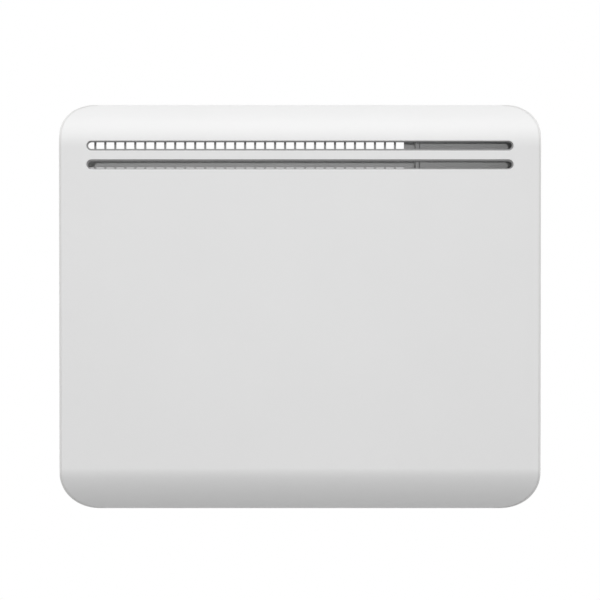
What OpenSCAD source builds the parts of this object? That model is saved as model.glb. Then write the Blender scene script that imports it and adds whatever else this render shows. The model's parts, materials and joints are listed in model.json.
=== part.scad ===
// Slim electric panel heater for a wall: a sheet-steel case with two air outlet slots,
// hung on a pressed bracket, with its thermostat box behind the right end of the slots.
// The wall is the plane y = 0, the front faces -Y and +Z is up.
// The origin is the centre of the four wall screws. Lengths are millimetres.

/* [Case] */
// Width over the two end caps
case_w = 429; // [426:1:450]
// Height of the case
case_h = 370; // [368:1:390]
// Depth from the front face to the back of the back cover
case_d = 62; // [60:1:68]
// Air gap between the wall and the back cover
wall_gap = 22; // [21:1:26]
// Radius at which the front sheet rolls back at its top and bottom
roll_r = 47; // [44:1:47]
// Angle of the crease where each roll meets the flat front, in degrees
crease = 10.5; // [4:0.5:12]
// Radius of the top corners seen from the front
corner_top_r = 30; // [24:1:30]
// Radius of the bottom corners seen from the front
corner_bottom_r = 37; // [30:1:37]
// Thickness of the case sheet
sheet_t = 1.2; // [0.8:0.1:1.4]
// Wall of the moulded end caps
cap_t = 1.6; // [1.4:0.1:1.8]

/* [Outlet slots] */
// Length of each outlet slot
slot_l = 380; // [340:1:382]
// Height of each outlet slot
slot_h = 8.8; // [8:0.1:9.4]
// Distance between the centre lines of the two slots
slot_pitch = 16.7; // [15:0.1:17.5]
// Drop of the upper slot's centre line from the top of the case
slot_drop = 40.8; // [40:0.1:43]
// Width of the grey liner that shows inside each slot's edge
liner_lip = 1.3; // [0.5:0.1:1.8]

/* [Back grille] */
// Spacing of the grille bars
bar_pitch = 9.27; // [9:0.01:9.4]
// Width of one grille bar
bar_w = 2.05; // [1.6:0.05:3]
// Number of holes in each upper row
grille_holes = 32; // [20:1:32]
// Height of one row of holes
grille_h = 16; // [10:1:17]
// Distance from row to row
grille_pitch = 26.2; // [24:0.2:27]

/* [Wall bracket] */
// Distance between the screw slots from side to side
screw_span_x = 220; // [210:1:230]
// Distance between the screw slots up and down
screw_span_z = 150; // [140:1:160]
// Width of a screw slot
screw_slot_w = 5.4; // [4.5:0.1:6.4]
// Length of a screw slot
screw_slot_l = 12; // [8:1:16]
// Thickness of the bracket plate
bracket_t = 1.5; // [1.2:0.1:2]

/* [Heating element] */
// Length of the finned aluminium body
element_l = 310; // [280:1:312]
// Reach of the fins from the axis of the rod
fin_reach = 20; // [14:1:21]
// Number of fins
fin_count = 8; // [6:2:10]
// Diameter of the sheathed heating rod
rod_d = 8.4; // [6:0.1:9]

/* [Controls] */
// Diameter of a push button
button_d = 6.3; // [5.5:0.1:6.5]
// Travel of a push button
button_travel = 0.8; // [0.5:0.1:0.9]
// Swing of the rocker from off to on, in degrees
rocker_swing = 16; // [10:1:16]

/* [Hidden] */
$fn = 48;

// Colours
white_paint = "#dedede";
liner_grey = "#8c8c8c";
zinc_steel = "#b4b6b8";
box_grey = "#c8c8c8";
dark_plastic = "#3a3c3f";
bare_aluminium = "#c8cacc";
board_green = "#2f6b46";

// Case planes and margins
half_w = case_w / 2;
half_h = case_h / 2;
back_y = -wall_gap;
front_y = back_y - case_d;
cover_y = back_y - sheet_t;
roll_y = front_y + roll_r * cos(crease);
fit_gap = 0.2;
cut = 1;
bite = 0.5;

// Panel, caps and cover
panel_inset = cap_t + fit_gap;
cover_inset = cap_t + 0.3;
flange_h = 12;
flange_half_w = half_w - corner_bottom_r - 2;
ledge_w = 3;
ledge_t = 1.5;
boss_r = 4;
boss_depth = 14;
boss_x = half_w - 8;
boss_z = 80;
pilot_r = 1.55;
thread_r = 1.5;
pass_r = 1.7;
head_r = 3;
head_h = 1.5;
recess = [3.2, 0.8, 0.9];
cover_screw_l = 4.5;
edge_screw_xs = [-150, -30, 90];
edge_screw_z = half_h - 8;

// Slots, liner and inlet
slot_top_z = half_h - slot_drop;
slot_zs = [slot_top_z, slot_top_z - slot_pitch];
liner_t = 1.8;
liner_margin = 5.5;
liner_lift = 0.2;
liner_drop = 0.3;
liner_slot_zs = [slot_zs[0] + liner_lift, slot_zs[1] - liner_drop];
liner_half_w = slot_l / 2 + 9;
inlet_l = 54;
inlet_w = 9;
inlet_pitch = 60;
inlet_first_x = -140;
inlet_xs = [for (i = [0 : 4]) inlet_first_x + inlet_pitch * i];
inlet_y = -31;
grille_left_x = -198.2;
grille_zs = [half_h - 37.9, half_h - 37.9 - grille_pitch];
low_grille_holes = 17;
low_grille_z = -157;

// Wall bracket, hinge and clips
rail_x = screw_span_x / 2;
rail_w = 28;
rail_top_z = 108;
rail_bottom_z = -152;
rail_flange = 8;
cross_z = 85;
cross_h = 22;
pivot_y = -14;
pivot_z = -140;
pin_r = 3;
pin_half_l = 20;
pin_head_r = 4.2;
pin_head_t = 1.2;
cradle_r = pin_r + 0.05;
ear_r = 6;
ear_t = 2;
hinge_base_t = 1.5;
hinge_base_half = [22, 8];
hinge_rivet_x = 7;
rivet_r = 1.6;
rivet_head_r = 2.8;
rivet_head_t = 1;
rivet_gap = 0.05;
clip_z = 98;
clip_w = 16;
clip_t = 0.8;
clip_base_half_h = 12;
clip_rivet_z = 8.8;
clip_root = 4;
clip_waist = 3.4;
clip_mouth = 5;
clip_bend_y = -9;
clip_waist_y = -11.5;
clip_mouth_y = -15;
stud_r = 3;
stud_neck_r = 2.4;
stud_flange_r = 6;
stud_flange_t = 1.5;
stud_swage_r = 4;
stud_head_y = -12;
stud_tip_y = -5;

// Heating element and its supports
element_y = -56;
element_z = -95;
fin_t = 1.6;
fin_hub_r = rod_d / 2 + 2.2;
rod_gap = 0.05;
support_x = 166;
support_half_h = 23;
support_y = -72;
support_foot_w = 16;
support_foot_half_h = 15;
support_screw_x = support_x + support_foot_w / 2 + 1;
insulator_r = 5.5;
insulator_collar_r = 8;
insulator_collar_t = 3.5;
insulator_nose = 4;
rod_half_l = 176;
terminal_l = 14;
terminal_w = 6.3;
terminal_t = 0.8;
shield_t = 0.6;
shield_y = -31;
shield_half_w = 150;
shield_foot_w = 10;
shield_z0 = -150;
shield_z1 = -40;
cutout_x = 120;
cutout_z = -58;
cutout_base_r = 8;
cutout_base_t = 3;
cutout_body_r = 6.5;
cutout_body_t = 6;
cutout_tab_x = 4;
cutout_tab_l = 6;
sensor_x = half_w - 20;
sensor_y = -29;
sensor_r = 2;
sensor_z0 = -166;
sensor_z1 = -148;
sensor_clip_size = [9, 9.5, 8];
sensor_clip_z = -158;

// Thermostat box behind the right end of the slots
box_x0 = 105.7;
box_x1 = half_w - 16.5;
box_y0 = -46;
box_y1 = -25;
box_z0 = 96;
box_z1 = half_h - 11;
box_wall = 3.3;
lid_t = 2;
lid_gap = 0.4;
post_inset = 6.5;
post_r = 3.5;
post_xs = [box_x0 + post_inset, box_x1 - post_inset];
post_zs = [box_z0 + post_inset, box_z1 - post_inset];
lid_screw_r = 1.2;
lid_screw_head_r = 2.2;
lid_screw_head_h = 1;
lid_screw_l = 9;
foot_xs = [box_x0 + 24, box_x1 - 16];
foot_zs = [box_z0 + 14, box_z1 - 12];
foot_r = 4.5;
box_screw_l = 5;
board_t = 1.6;
board_y = -29;
board_x0 = box_x0 + 11.5;
board_x1 = box_x1 - 11;
board_z0 = box_z0 + 12;
board_z1 = box_z1 - 12;
board_face_y = board_y - board_t;
peg_r = 2.5;
peg_inset = 4;
lead_xs = [136, 144, 152, 160];
lead_y = -36;
block_z0 = board_z0 + 2;
block_z1 = block_z0 + 10;
ribbon_x0 = 142;
ribbon_x1 = 154;
ribbon_y = -33;
ribbon_t = 0.5;
ribbon_way = 1.5;
lead_way = 3;
header_depth = 4.4;
header_h = 6;
tall_y = -42;
relay_xz = [[123, 134], [138, 153]];
transformer_xz = [[158, 134], [180, 154]];
capacitor_xz = [148, 144];
capacitor_r = 5;
block_margin = 4;

// Control bezel in the top of the case
bezel_x0 = 112;
bezel_x1 = half_w - 32.5;
bezel_y0 = -37;
bezel_y1 = -25;
bezel_mid_y = (bezel_y0 + bezel_y1) / 2;
bezel_gap = 0.15;
bezel_depth = 10;
bezel_plate = 1.8;
bezel_wall = 1.5;
bezel_lip = 1.1;
bezel_back_lip = 0.4;
bezel_lip_t = 1.3;
plate_z = half_h - bezel_plate;
window_x0 = 114.5;
window_x1 = 138.5;
window_half = 3.5;
window_t = 1;
window_ledge = 1;
window_gap = 0.1;
button_xs = [145.2, 154.2, 163.2];
button_hole_gap = 0.25;
button_collar_r = button_d / 2 + 1.05;
button_collar_t = 1.2;
button_proud = 0.3;
button_stem_r = 1.8;
button_stem_l = 1.7;
button_board_z = half_h - 9;
button_board_x1 = 167.8;
switch_size = 6;
switch_h = 1.6;
hanger_x = 140.3;
hanger_dy = 3.3;
hanger_r = 1;
rocker_x = 174.2;
rocker_half_w = 3.1;
rocker_half_l = 5.2;
rocker_hole = [12.2, 6.8];
rocker_pivot_z = half_h - 3.6;
rocker_valley = 2.5;
rocker_pin_r = 1;
rocker_pin_out = 0.8;
rocker_keel = [2.2, 2.5];
rocker_side = 1;
cheek_gap = 0.25;
cheek_t = 0.9;
cheek_half_l = 3;
switch_base_t = 2.3;
switch_base_half_l = 6;

// Cord gland in the underside
gland_x = 150;
gland_y = -31;
gland_r = 5;
gland_bore_r = 3.75;
gland_flange_r = 6.4;
gland_flange_t = 4;
gland_l = 13;

// Earth stud
earth_x = 152;
earth_z = 60;
earth_r = 2;
earth_tip_y = -33;
earth_nut_r = 4;
earth_nut_t = 3;

// Leads inside the case
lead_r = 1.4;
sensor_lead_r = 1;
lead_sides = 8;
lead_steps = 4;
tab_end_y = shield_y - shield_t - cutout_base_t - cutout_body_t - cutout_tab_l;
rod_end_x = rod_half_l + terminal_l;
lead_tilt = [0.31, 0.83, 0.46];
route_live = [[lead_xs[1], lead_y, block_z0], [lead_xs[1], lead_y, 92], [141, -40, 40],
    [132, -46, -10], [118, -62, -44], [cutout_x - cutout_tab_x, -62, -57],
    [cutout_x - cutout_tab_x, tab_end_y, cutout_z]];
route_limited = [[cutout_x + cutout_tab_x, tab_end_y, cutout_z], [cutout_x + cutout_tab_x, -58, -57],
    [138, -64, -58], [166, -62, -64], [192, -58, -78], [199, -56, -90], [rod_end_x, element_y, element_z]];
route_neutral = [[lead_xs[0], lead_y, block_z0], [lead_xs[0], lead_y, 92], [132, -33, 40], [108, -29, -6],
    [70, -28, -20], [0, -28, -22], [-90, -28, -22], [-150, -30, -26], [-186, -40, -46],
    [-200, -52, -78], [-199, -56, -91], [-rod_end_x, element_y, element_z]];
route_earth = [[lead_xs[2], lead_y, block_z0], [lead_xs[2], lead_y, 92], [lead_xs[2], -41, 76],
    [earth_x, -42, 64], [earth_x, earth_tip_y, earth_z]];
route_sensor = [[lead_xs[3], lead_y, block_z0], [lead_xs[3], lead_y, 92], [172, -34, 66], [190, -31, 20],
    [sensor_x, -30, -50], [sensor_x, sensor_y, -110], [sensor_x, sensor_y, sensor_z1]];

// A flat shape in (y, z), drawn out along X
module along_x(x0, x1) {
    translate([x0, 0, 0]) rotate([90, 0, 90]) linear_extrude(x1 - x0) children();
}

// A flat shape in (x, z), drawn out along Y
module along_y(y0, y1) {
    translate([0, y1, 0]) rotate([90, 0, 0]) linear_extrude(y1 - y0) children();
}

// A box between two corners
module block(low, high) {
    translate(low) cube(high - low);
}

// Round bars along the three axes
module rod_x(x0, x1, y, z, r) {
    translate([x0, y, z]) rotate([0, 90, 0]) cylinder(h = x1 - x0, r = r);
}

module rod_y(x, z, y0, y1, r) {
    translate([x, y1, z]) rotate([90, 0, 0]) cylinder(h = y1 - y0, r = r);
}

module rod_z(x, y, z0, z1, r) {
    translate([x, y, z0]) cylinder(h = z1 - z0, r = r);
}

// A slot with round ends, lying along x
module round_slot(length, height) {
    square([length - height, height], center = true);
    for (side = [-1, 1])
        translate([side * (length - height) / 2, 0]) circle(height / 2);
}

// One end of the front outline: two corner circles and the strip between them
module outline_end(r, inset, side) {
    strip_l = 2 * (half_w - r);
    for (x = [-1, 1])
        translate([x * (half_w - r), side * (half_h - r)]) circle(r - inset);
    translate([0, side * (half_h - inset) / 2]) square([strip_l, half_h - inset], center = true);
}

// Outline of the case from the front, drawn in by an inset
module case_outline(inset) {
    outline_end(corner_top_r, inset, 1);
    outline_end(corner_bottom_r, inset, -1);
    translate([inset - half_w, corner_bottom_r - half_h])
        square([case_w - 2 * inset, case_h - corner_top_r - corner_bottom_r]);
}

// The middle of the outline between the corner arcs, which the front panel fills to its edge
module panel_strip(gap) {
    for (end = [[corner_top_r, 1], [corner_bottom_r, -1]])
        translate([0, end[1] * half_h / 2])
            square([2 * (half_w - end[0] - gap), half_h], center = true);
}

// Quarter disc at the roll of the front sheet
module roll_quarter(inset, side) {
    translate([roll_y, side * (half_h - roll_r)])
        intersection() {
            circle(roll_r - inset);
            translate([-roll_r / 2, side * roll_r / 2]) square(roll_r, center = true);
        }
}

// Side profile of the case in (y, z), drawn in by an inset and open at the back by a reach
module case_profile(inset, reach) {
    intersection() {
        union() {
            translate([front_y, roll_r - half_h])
                square([case_d + reach, case_h - 2 * roll_r]);
            translate([roll_y, inset - half_h])
                square([back_y - roll_y + reach, case_h - 2 * inset]);
            for (side = [-1, 1])
                roll_quarter(inset, side);
        }
        translate([front_y + inset, -half_h])
            square([case_d - inset + reach, case_h]);
    }
}

// A skin of the case between two depths below its surface
module case_skin(x0, x1, outer, inner) {
    along_x(x0, x1)
        difference() {
            case_profile(outer, 0);
            case_profile(inner, cut);
        }
}

// A pan-head screw from the back: its head's underside is at seat_y and its shank runs forward
module back_screw(x, z, seat_y, length) {
    difference() {
        rod_y(x, z, seat_y, seat_y + head_h, head_r);
        for (turn = [0, 90])
            translate([x, seat_y + head_h, z]) rotate([0, turn, 0])
                cube([recess[0], 2 * recess[2], recess[1]], center = true);
    }
    rod_y(x, z, seat_y - length, seat_y + bite, thread_r);
}

// Places of the screws that hold the back cover
cap_screws = [for (x = [-1, 1], z = [-1, 1]) [x * boss_x, z * boss_z]];
edge_screws = [for (x = edge_screw_xs, z = [-1, 1]) [x, z * edge_screw_z]];
cover_screw_places = concat(cap_screws, edge_screws);
box_screw_places = [for (x = foot_xs, z = foot_zs) [x, z]];
element_screw_places = [for (x = [-1, 1]) [x * support_screw_x, element_z]];
hinge_rivet_places = [for (side = [-1, 1], x = [-1, 1]) [side * rail_x + x * hinge_rivet_x, pivot_z]];

// Wall bracket: two channel rails and two cross straps, with cradles for the hinge pins
module bracket_flange(side, edge) {
    x0 = side * rail_x + edge * (rail_w / 2 - bracket_t / 2) - bracket_t / 2;
    block([x0, -bracket_t - rail_flange, rail_bottom_z], [x0 + bracket_t, 0, rail_top_z]);
    along_x(x0, x0 + bracket_t)
        difference() {
            union() {
                translate([pivot_y, pivot_z]) circle(ear_r);
                translate([pivot_y, pivot_z - ear_r]) square([-pivot_y, 2 * ear_r]);
            }
            translate([pivot_y, pivot_z]) circle(cradle_r);
            translate([pivot_y - cradle_r, pivot_z]) square([2 * cradle_r, 2 * ear_r]);
        }
}

module wall_bracket() {
    color(zinc_steel)
        difference() {
            union() {
                for (side = [-1, 1]) {
                    block([side * rail_x - rail_w / 2, -bracket_t, rail_bottom_z],
                        [side * rail_x + rail_w / 2, 0, rail_top_z]);
                    block([-rail_x, -bracket_t, side * cross_z - cross_h / 2],
                        [rail_x, 0, side * cross_z + cross_h / 2]);
                    for (edge = [-1, 1])
                        bracket_flange(side, edge);
                }
            }
            for (x = [-1, 1], z = [-1, 1])
                translate([x * rail_x, 0, z * screw_span_z / 2])
                    along_y(-bracket_t - cut, cut) round_slot(screw_slot_l, screw_slot_w);
            for (side = [-1, 1], z = [-1, 1])
                rod_y(side * rail_x, clip_z + z * clip_rivet_z, -bracket_t - cut, cut,
                    rivet_r + rivet_gap);
        }
}

// Spring clip: a base and two leaves that narrow to a waist and open at the mouth
module clip_outline() {
    front_face_y = -bracket_t - clip_t;
    upper = [[-bracket_t, clip_base_half_h], [front_face_y, clip_base_half_h],
        [front_face_y, clip_root + clip_t], [clip_bend_y, clip_root + clip_t],
        [clip_waist_y, clip_waist + clip_t], [clip_mouth_y, clip_mouth + clip_t],
        [clip_mouth_y, clip_mouth], [clip_waist_y, clip_waist], [clip_bend_y, clip_root],
        [front_face_y, clip_root]];
    lower = [for (i = [len(upper) - 1 : -1 : 0]) [upper[i][0], -upper[i][1]]];
    polygon(concat(upper, lower));
}

module spring_clip(side) {
    color(zinc_steel)
        translate([side * rail_x, 0, clip_z])
            difference() {
                along_x(-clip_w / 2, clip_w / 2) clip_outline();
                for (z = [-1, 1])
                    rod_y(0, z * clip_rivet_z, -bracket_t - clip_t - cut, 0, rivet_r + rivet_gap);
            }
}

module spring_clip_left() {
    spring_clip(-1);
}

module spring_clip_right() {
    spring_clip(1);
}

module clip_rivets() {
    seat_y = -bracket_t - clip_t;
    color(zinc_steel)
        for (side = [-1, 1], z = [-1, 1]) {
            rod_y(side * rail_x, clip_z + z * clip_rivet_z, seat_y, 0, rivet_r);
            rod_y(side * rail_x, clip_z + z * clip_rivet_z, seat_y - rivet_head_t, seat_y, rivet_head_r);
        }
}

// Front panel: one sheet with flat face, rolled top and bottom and turned-in back flanges
module panel_flange(side) {
    z0 = half_h - sheet_t - flange_h;
    z1 = half_h - sheet_t / 2;
    along_y(cover_y - sheet_t, cover_y)
        translate([0, side * (z0 + z1) / 2]) square([2 * flange_half_w, z1 - z0], center = true);
}

module front_panel() {
    color(white_paint)
        difference() {
            union() {
                intersection() {
                    case_skin(-half_w, half_w, 0, sheet_t);
                    along_y(front_y - cut, back_y + cut) {
                        case_outline(panel_inset);
                        panel_strip(fit_gap);
                    }
                }
                for (side = [-1, 1])
                    panel_flange(side);
            }
            for (z = slot_zs)
                translate([0, 0, z]) along_y(front_y - cut, roll_y) round_slot(slot_l, slot_h);
            block([bezel_x0, bezel_y0, half_h - 2 * sheet_t], [bezel_x1, bezel_y1, half_h + cut]);
            for (x = inlet_xs)
                translate([x, inlet_y, -half_h - cut])
                    linear_extrude(2 * sheet_t + cut) round_slot(inlet_l, inlet_w);
            rod_z(gland_x, gland_y, -half_h - cut, -half_h + 2 * sheet_t, gland_r + fit_gap);
            for (place = edge_screws)
                rod_y(place[0], place[1], cover_y - 2 * sheet_t, cover_y + cut, pilot_r);
        }
}

// End caps: the rim round each end, a ledge behind the sheet's edge and two screw bosses
module end_zone(side) {
    for (end = [[corner_top_r, 1], [corner_bottom_r, -1]])
        translate([side * (half_w - end[0] / 2), end[1] * half_h / 2])
            square([end[0], half_h], center = true);
}

module cap_ring(side, outer, inner) {
    intersection() {
        difference() {
            case_outline(outer);
            case_outline(inner);
        }
        end_zone(side);
    }
}

module end_cap(side) {
    x0 = side > 0 ? 0 : -half_w;
    color(white_paint)
        difference() {
            union() {
                intersection() {
                    along_y(front_y, back_y) cap_ring(side, 0, cap_t);
                    along_x(x0, x0 + half_w) case_profile(0, 0);
                }
                intersection() {
                    along_y(front_y, cover_y) cap_ring(side, cap_t / 2, cap_t + ledge_w);
                    case_skin(x0, x0 + half_w, sheet_t + fit_gap, sheet_t + fit_gap + ledge_t);
                }
                for (z = [-1, 1]) {
                    rod_y(side * boss_x, z * boss_z, cover_y - boss_depth, cover_y, boss_r);
                    translate([side * (half_w - cap_t / 2 - (half_w - boss_x) / 2), 0, z * boss_z])
                        along_y(cover_y - boss_depth, cover_y)
                            square([half_w - boss_x, boss_r], center = true);
                }
            }
            for (z = [-1, 1])
                rod_y(side * boss_x, z * boss_z, cover_y - boss_depth + cut, cover_y + cut, pilot_r);
        }
}

module end_cap_left() {
    end_cap(-1);
}

module end_cap_right() {
    end_cap(1);
}

// Outlet liner: a curved strip behind the panel with slightly smaller slots
module outlet_liner() {
    z_high = slot_zs[0] + slot_h / 2 + liner_margin;
    z_low = slot_zs[1] - slot_h / 2 - liner_margin;
    color(liner_grey)
        difference() {
            intersection() {
                case_skin(-liner_half_w, liner_half_w, sheet_t, sheet_t + liner_t);
                block([-liner_half_w, front_y, z_low], [liner_half_w, roll_y, z_high]);
            }
            for (z = liner_slot_zs)
                translate([0, 0, z])
                    along_y(front_y - cut, roll_y)
                        round_slot(slot_l - 2 * liner_lip, slot_h - 2 * liner_lip);
        }
}

// Back cover: a plate with two long rows of outlet holes and one short inlet row
module grille_row(x0, holes, z) {
    for (i = [0 : holes - 1])
        translate([x0 + bar_pitch * i, z - grille_h / 2]) square([bar_pitch - bar_w, grille_h]);
}

module back_cover() {
    low_half = bar_pitch * low_grille_holes / 2;
    color(white_paint)
        along_y(cover_y, back_y)
            difference() {
                case_outline(cover_inset);
                for (z = grille_zs)
                    grille_row(grille_left_x, grille_holes, z);
                grille_row(-low_half, low_grille_holes, low_grille_z);
                for (place = concat(cover_screw_places, box_screw_places, element_screw_places))
                    translate(place) circle(pass_r);
                for (place = hinge_rivet_places)
                    translate(place) circle(rivet_r + rivet_gap);
                for (side = [-1, 1])
                    translate([side * rail_x, clip_z]) circle(stud_neck_r + rivet_gap);
                translate([earth_x, earth_z]) circle(earth_r + rivet_gap);
            }
}

module cover_screws() {
    color(zinc_steel)
        for (place = cover_screw_places)
            back_screw(place[0], place[1], back_y, cover_screw_l);
}

// Hinge bracket: a base on the back cover with two ears that carry the pin
module hinge_bracket(side) {
    color(zinc_steel)
        translate([side * rail_x, 0, 0])
            difference() {
                union() {
                    block([-hinge_base_half[0], back_y, pivot_z - hinge_base_half[1]],
                        [hinge_base_half[0], back_y + hinge_base_t, pivot_z + hinge_base_half[1]]);
                    for (edge = [-1, 1])
                        along_x(edge * (pin_half_l - ear_t / 2) - ear_t / 2,
                                edge * (pin_half_l - ear_t / 2) + ear_t / 2) {
                            translate([pivot_y, pivot_z]) circle(ear_r);
                            translate([back_y, pivot_z - ear_r]) square([pivot_y - back_y, 2 * ear_r]);
                        }
                }
                rod_x(-pin_half_l - cut, pin_half_l + cut, pivot_y, pivot_z, cradle_r);
                for (x = [-1, 1])
                    rod_y(x * hinge_rivet_x, pivot_z, back_y - cut, back_y + hinge_base_t + cut,
                        rivet_r + rivet_gap);
            }
}

module hinge_bracket_left() {
    hinge_bracket(-1);
}

module hinge_bracket_right() {
    hinge_bracket(1);
}

module hinge_pin(side) {
    color(zinc_steel)
        translate([side * rail_x, 0, 0]) {
            rod_x(-pin_half_l - pin_head_t / 2, pin_half_l + pin_head_t / 2, pivot_y, pivot_z, pin_r);
            for (x0 = [-pin_half_l - pin_head_t, pin_half_l])
                rod_x(x0, x0 + pin_head_t, pivot_y, pivot_z, pin_head_r);
        }
}

module hinge_pin_left() {
    hinge_pin(-1);
}

module hinge_pin_right() {
    hinge_pin(1);
}

module hinge_rivets() {
    outer_y = back_y + hinge_base_t;
    color(zinc_steel)
        for (place = hinge_rivet_places) {
            rod_y(place[0], place[1], cover_y, outer_y, rivet_r);
            rod_y(place[0], place[1], outer_y, outer_y + rivet_head_t, rivet_head_r);
            rod_y(place[0], place[1], cover_y - rivet_head_t, cover_y, rivet_head_r);
        }
}

// Clip stud: swaged into the back cover, with a neck and a tapered head for the spring clip
module clip_stud(side) {
    neck = stud_head_y - back_y;
    reach = stud_tip_y - back_y;
    color(zinc_steel)
        translate([side * rail_x, back_y, clip_z])
            rotate([-90, 0, 0])
                rotate_extrude()
                    polygon([[0, -sheet_t - rivet_head_t], [stud_swage_r, -sheet_t - rivet_head_t],
                        [stud_swage_r, -sheet_t], [stud_neck_r, -sheet_t], [stud_neck_r, 0],
                        [stud_flange_r, 0], [stud_flange_r, stud_flange_t], [stud_neck_r, stud_flange_t],
                        [stud_neck_r, neck], [stud_r, neck + stud_r - stud_neck_r],
                        [stud_r, reach - stud_r / 2], [stud_r / 2, reach], [0, reach]]);
}

module clip_stud_left() {
    clip_stud(-1);
}

module clip_stud_right() {
    clip_stud(1);
}

// Heating element: a finned aluminium extrusion round a sheathed rod
module element_body() {
    color(bare_aluminium)
        translate([0, element_y, element_z])
            along_x(-element_l / 2, element_l / 2)
                difference() {
                    union() {
                        circle(fin_hub_r);
                        for (i = [0 : fin_count - 1])
                            rotate(360 * (i + 0.5) / fin_count)
                                translate([0, -fin_t / 2]) square([fin_reach, fin_t]);
                    }
                    circle(rod_d / 2 + rod_gap);
                }
}

module heating_rod() {
    color(zinc_steel)
        rod_x(-rod_half_l, rod_half_l, element_y, element_z, rod_d / 2);
}

module rod_terminals() {
    color(zinc_steel)
        for (x0 = [-rod_end_x, rod_half_l])
            block([x0, element_y - terminal_w / 2, element_z - terminal_t / 2],
                [x0 + terminal_l, element_y + terminal_w / 2, element_z + terminal_t / 2]);
}

module rod_insulator(side) {
    mirror([side > 0 ? 0 : 1, 0, 0])
        difference() {
            union() {
                rod_x(support_x - insulator_collar_t, support_x, element_y, element_z, insulator_collar_r);
                rod_x(support_x - bite, support_x + insulator_nose, element_y, element_z, insulator_r);
            }
            rod_x(support_x - insulator_collar_t - cut, support_x + insulator_nose + cut,
                element_y, element_z, rod_d / 2 + rod_gap);
        }
}

module rod_insulators() {
    color("#e8e4da") {
        rod_insulator(-1);
        rod_insulator(1);
    }
}

module element_bracket(side) {
    color(zinc_steel)
        mirror([side > 0 ? 0 : 1, 0, 0])
            difference() {
                union() {
                    block([support_x, support_y, element_z - support_half_h],
                        [support_x + sheet_t, cover_y, element_z + support_half_h]);
                    block([support_x, cover_y - sheet_t, element_z - support_foot_half_h],
                        [support_x + support_foot_w, cover_y, element_z + support_foot_half_h]);
                }
                rod_x(support_x - cut, support_x + sheet_t + cut, element_y, element_z,
                    insulator_r + rivet_gap);
                rod_y(support_screw_x, element_z, cover_y - 2 * sheet_t, cover_y + cut, pilot_r);
            }
}

module element_bracket_left() {
    element_bracket(-1);
}

module element_bracket_right() {
    element_bracket(1);
}

module element_screws() {
    color(zinc_steel)
        for (place = element_screw_places)
            back_screw(place[0], place[1], back_y, cover_screw_l);
}

// Heat shield: a shallow channel between the element and the back cover
module heat_shield() {
    color(bare_aluminium)
        translate([0, 0, shield_z0])
            linear_extrude(shield_z1 - shield_z0) {
                translate([-shield_half_w, shield_y - shield_t]) square([2 * shield_half_w, shield_t]);
                for (side = [-1, 1]) {
                    translate([side * (shield_half_w - shield_t / 2), (shield_y - shield_t + cover_y) / 2])
                        square([shield_t, cover_y - shield_y + shield_t], center = true);
                    translate([side * (shield_half_w - shield_t + shield_foot_w / 2), cover_y - shield_t / 2])
                        square([shield_foot_w, shield_t], center = true);
                }
            }
}

// Overheat cut-out: a bimetal disc switch on the shield with two tabs
module thermal_cutout() {
    base_y = shield_y - shield_t;
    body_y = base_y - cutout_base_t - cutout_body_t;
    color(dark_plastic) {
        rod_y(cutout_x, cutout_z, base_y - cutout_base_t, base_y, cutout_base_r);
        rod_y(cutout_x, cutout_z, body_y, base_y - cutout_base_t / 2, cutout_body_r);
        for (side = [-1, 1])
            translate([cutout_x + side * cutout_tab_x, 0, cutout_z])
                along_y(tab_end_y, body_y + bite) square([terminal_t, terminal_w], center = true);
    }
}

module sensor_clip() {
    size = sensor_clip_size;
    color(box_grey)
        difference() {
            block([sensor_x - size[0] / 2, cover_y - size[1], sensor_clip_z],
                [sensor_x + size[0] / 2, cover_y, sensor_clip_z + size[2]]);
            rod_z(sensor_x, sensor_y, sensor_clip_z - cut, sensor_clip_z + size[2] + cut, sensor_r + rod_gap);
        }
}

module temperature_sensor() {
    color(dark_plastic)
        rod_z(sensor_x, sensor_y, sensor_z0, sensor_z1, sensor_r);
}

// Thermostat box: housing with feet, lid posts and board pegs, and ways for leads and ribbon
module control_housing() {
    inner_y = box_y1 - box_wall;
    color(box_grey)
        difference() {
            union() {
                difference() {
                    block([box_x0, box_y0, box_z0], [box_x1, box_y1, box_z1]);
                    block([box_x0 + box_wall, box_y0 - cut, box_z0 + box_wall],
                        [box_x1 - box_wall, inner_y, box_z1 - box_wall]);
                }
                for (x = post_xs, z = post_zs)
                    rod_y(x, z, box_y0 + lid_t, inner_y + bite, post_r);
                for (x = [board_x0 + peg_inset, board_x1 - peg_inset],
                        z = [board_z0 + peg_inset, board_z1 - peg_inset])
                    rod_y(x, z, board_y, inner_y + bite, peg_r);
                for (place = box_screw_places)
                    rod_y(place[0], place[1], box_y1 - bite, cover_y, foot_r);
            }
            for (x = post_xs, z = post_zs)
                rod_y(x, z, box_y0 + lid_t - cut, inner_y - cut, lid_screw_r + rod_gap);
            for (place = box_screw_places)
                rod_y(place[0], place[1], inner_y - cut, cover_y + cut, pilot_r);
            block([lead_xs[0] - lead_way, lead_y - lead_way, box_z0 - cut],
                [lead_xs[3] + lead_way, lead_y + lead_way, box_z0 + 2 * box_wall]);
            block([ribbon_x0 - ribbon_way, ribbon_y - ribbon_way, box_z1 - 2 * box_wall],
                [ribbon_x1 + ribbon_way, ribbon_y + ribbon_way, box_z1 + cut]);
        }
}

module control_lid() {
    inset = box_wall + lid_gap;
    color(box_grey)
        difference() {
            block([box_x0 + inset, box_y0, box_z0 + inset], [box_x1 - inset, box_y0 + lid_t, box_z1 - inset]);
            for (x = post_xs, z = post_zs)
                rod_y(x, z, box_y0 - cut, box_y0 + lid_t + cut, lid_screw_r + fit_gap);
        }
}

module lid_screws() {
    color(zinc_steel)
        for (x = post_xs, z = post_zs) {
            rod_y(x, z, box_y0 - lid_screw_head_h, box_y0, lid_screw_head_r);
            rod_y(x, z, box_y0 - lid_screw_head_h / 2, box_y0 + lid_screw_l, lid_screw_r);
        }
}

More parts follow.
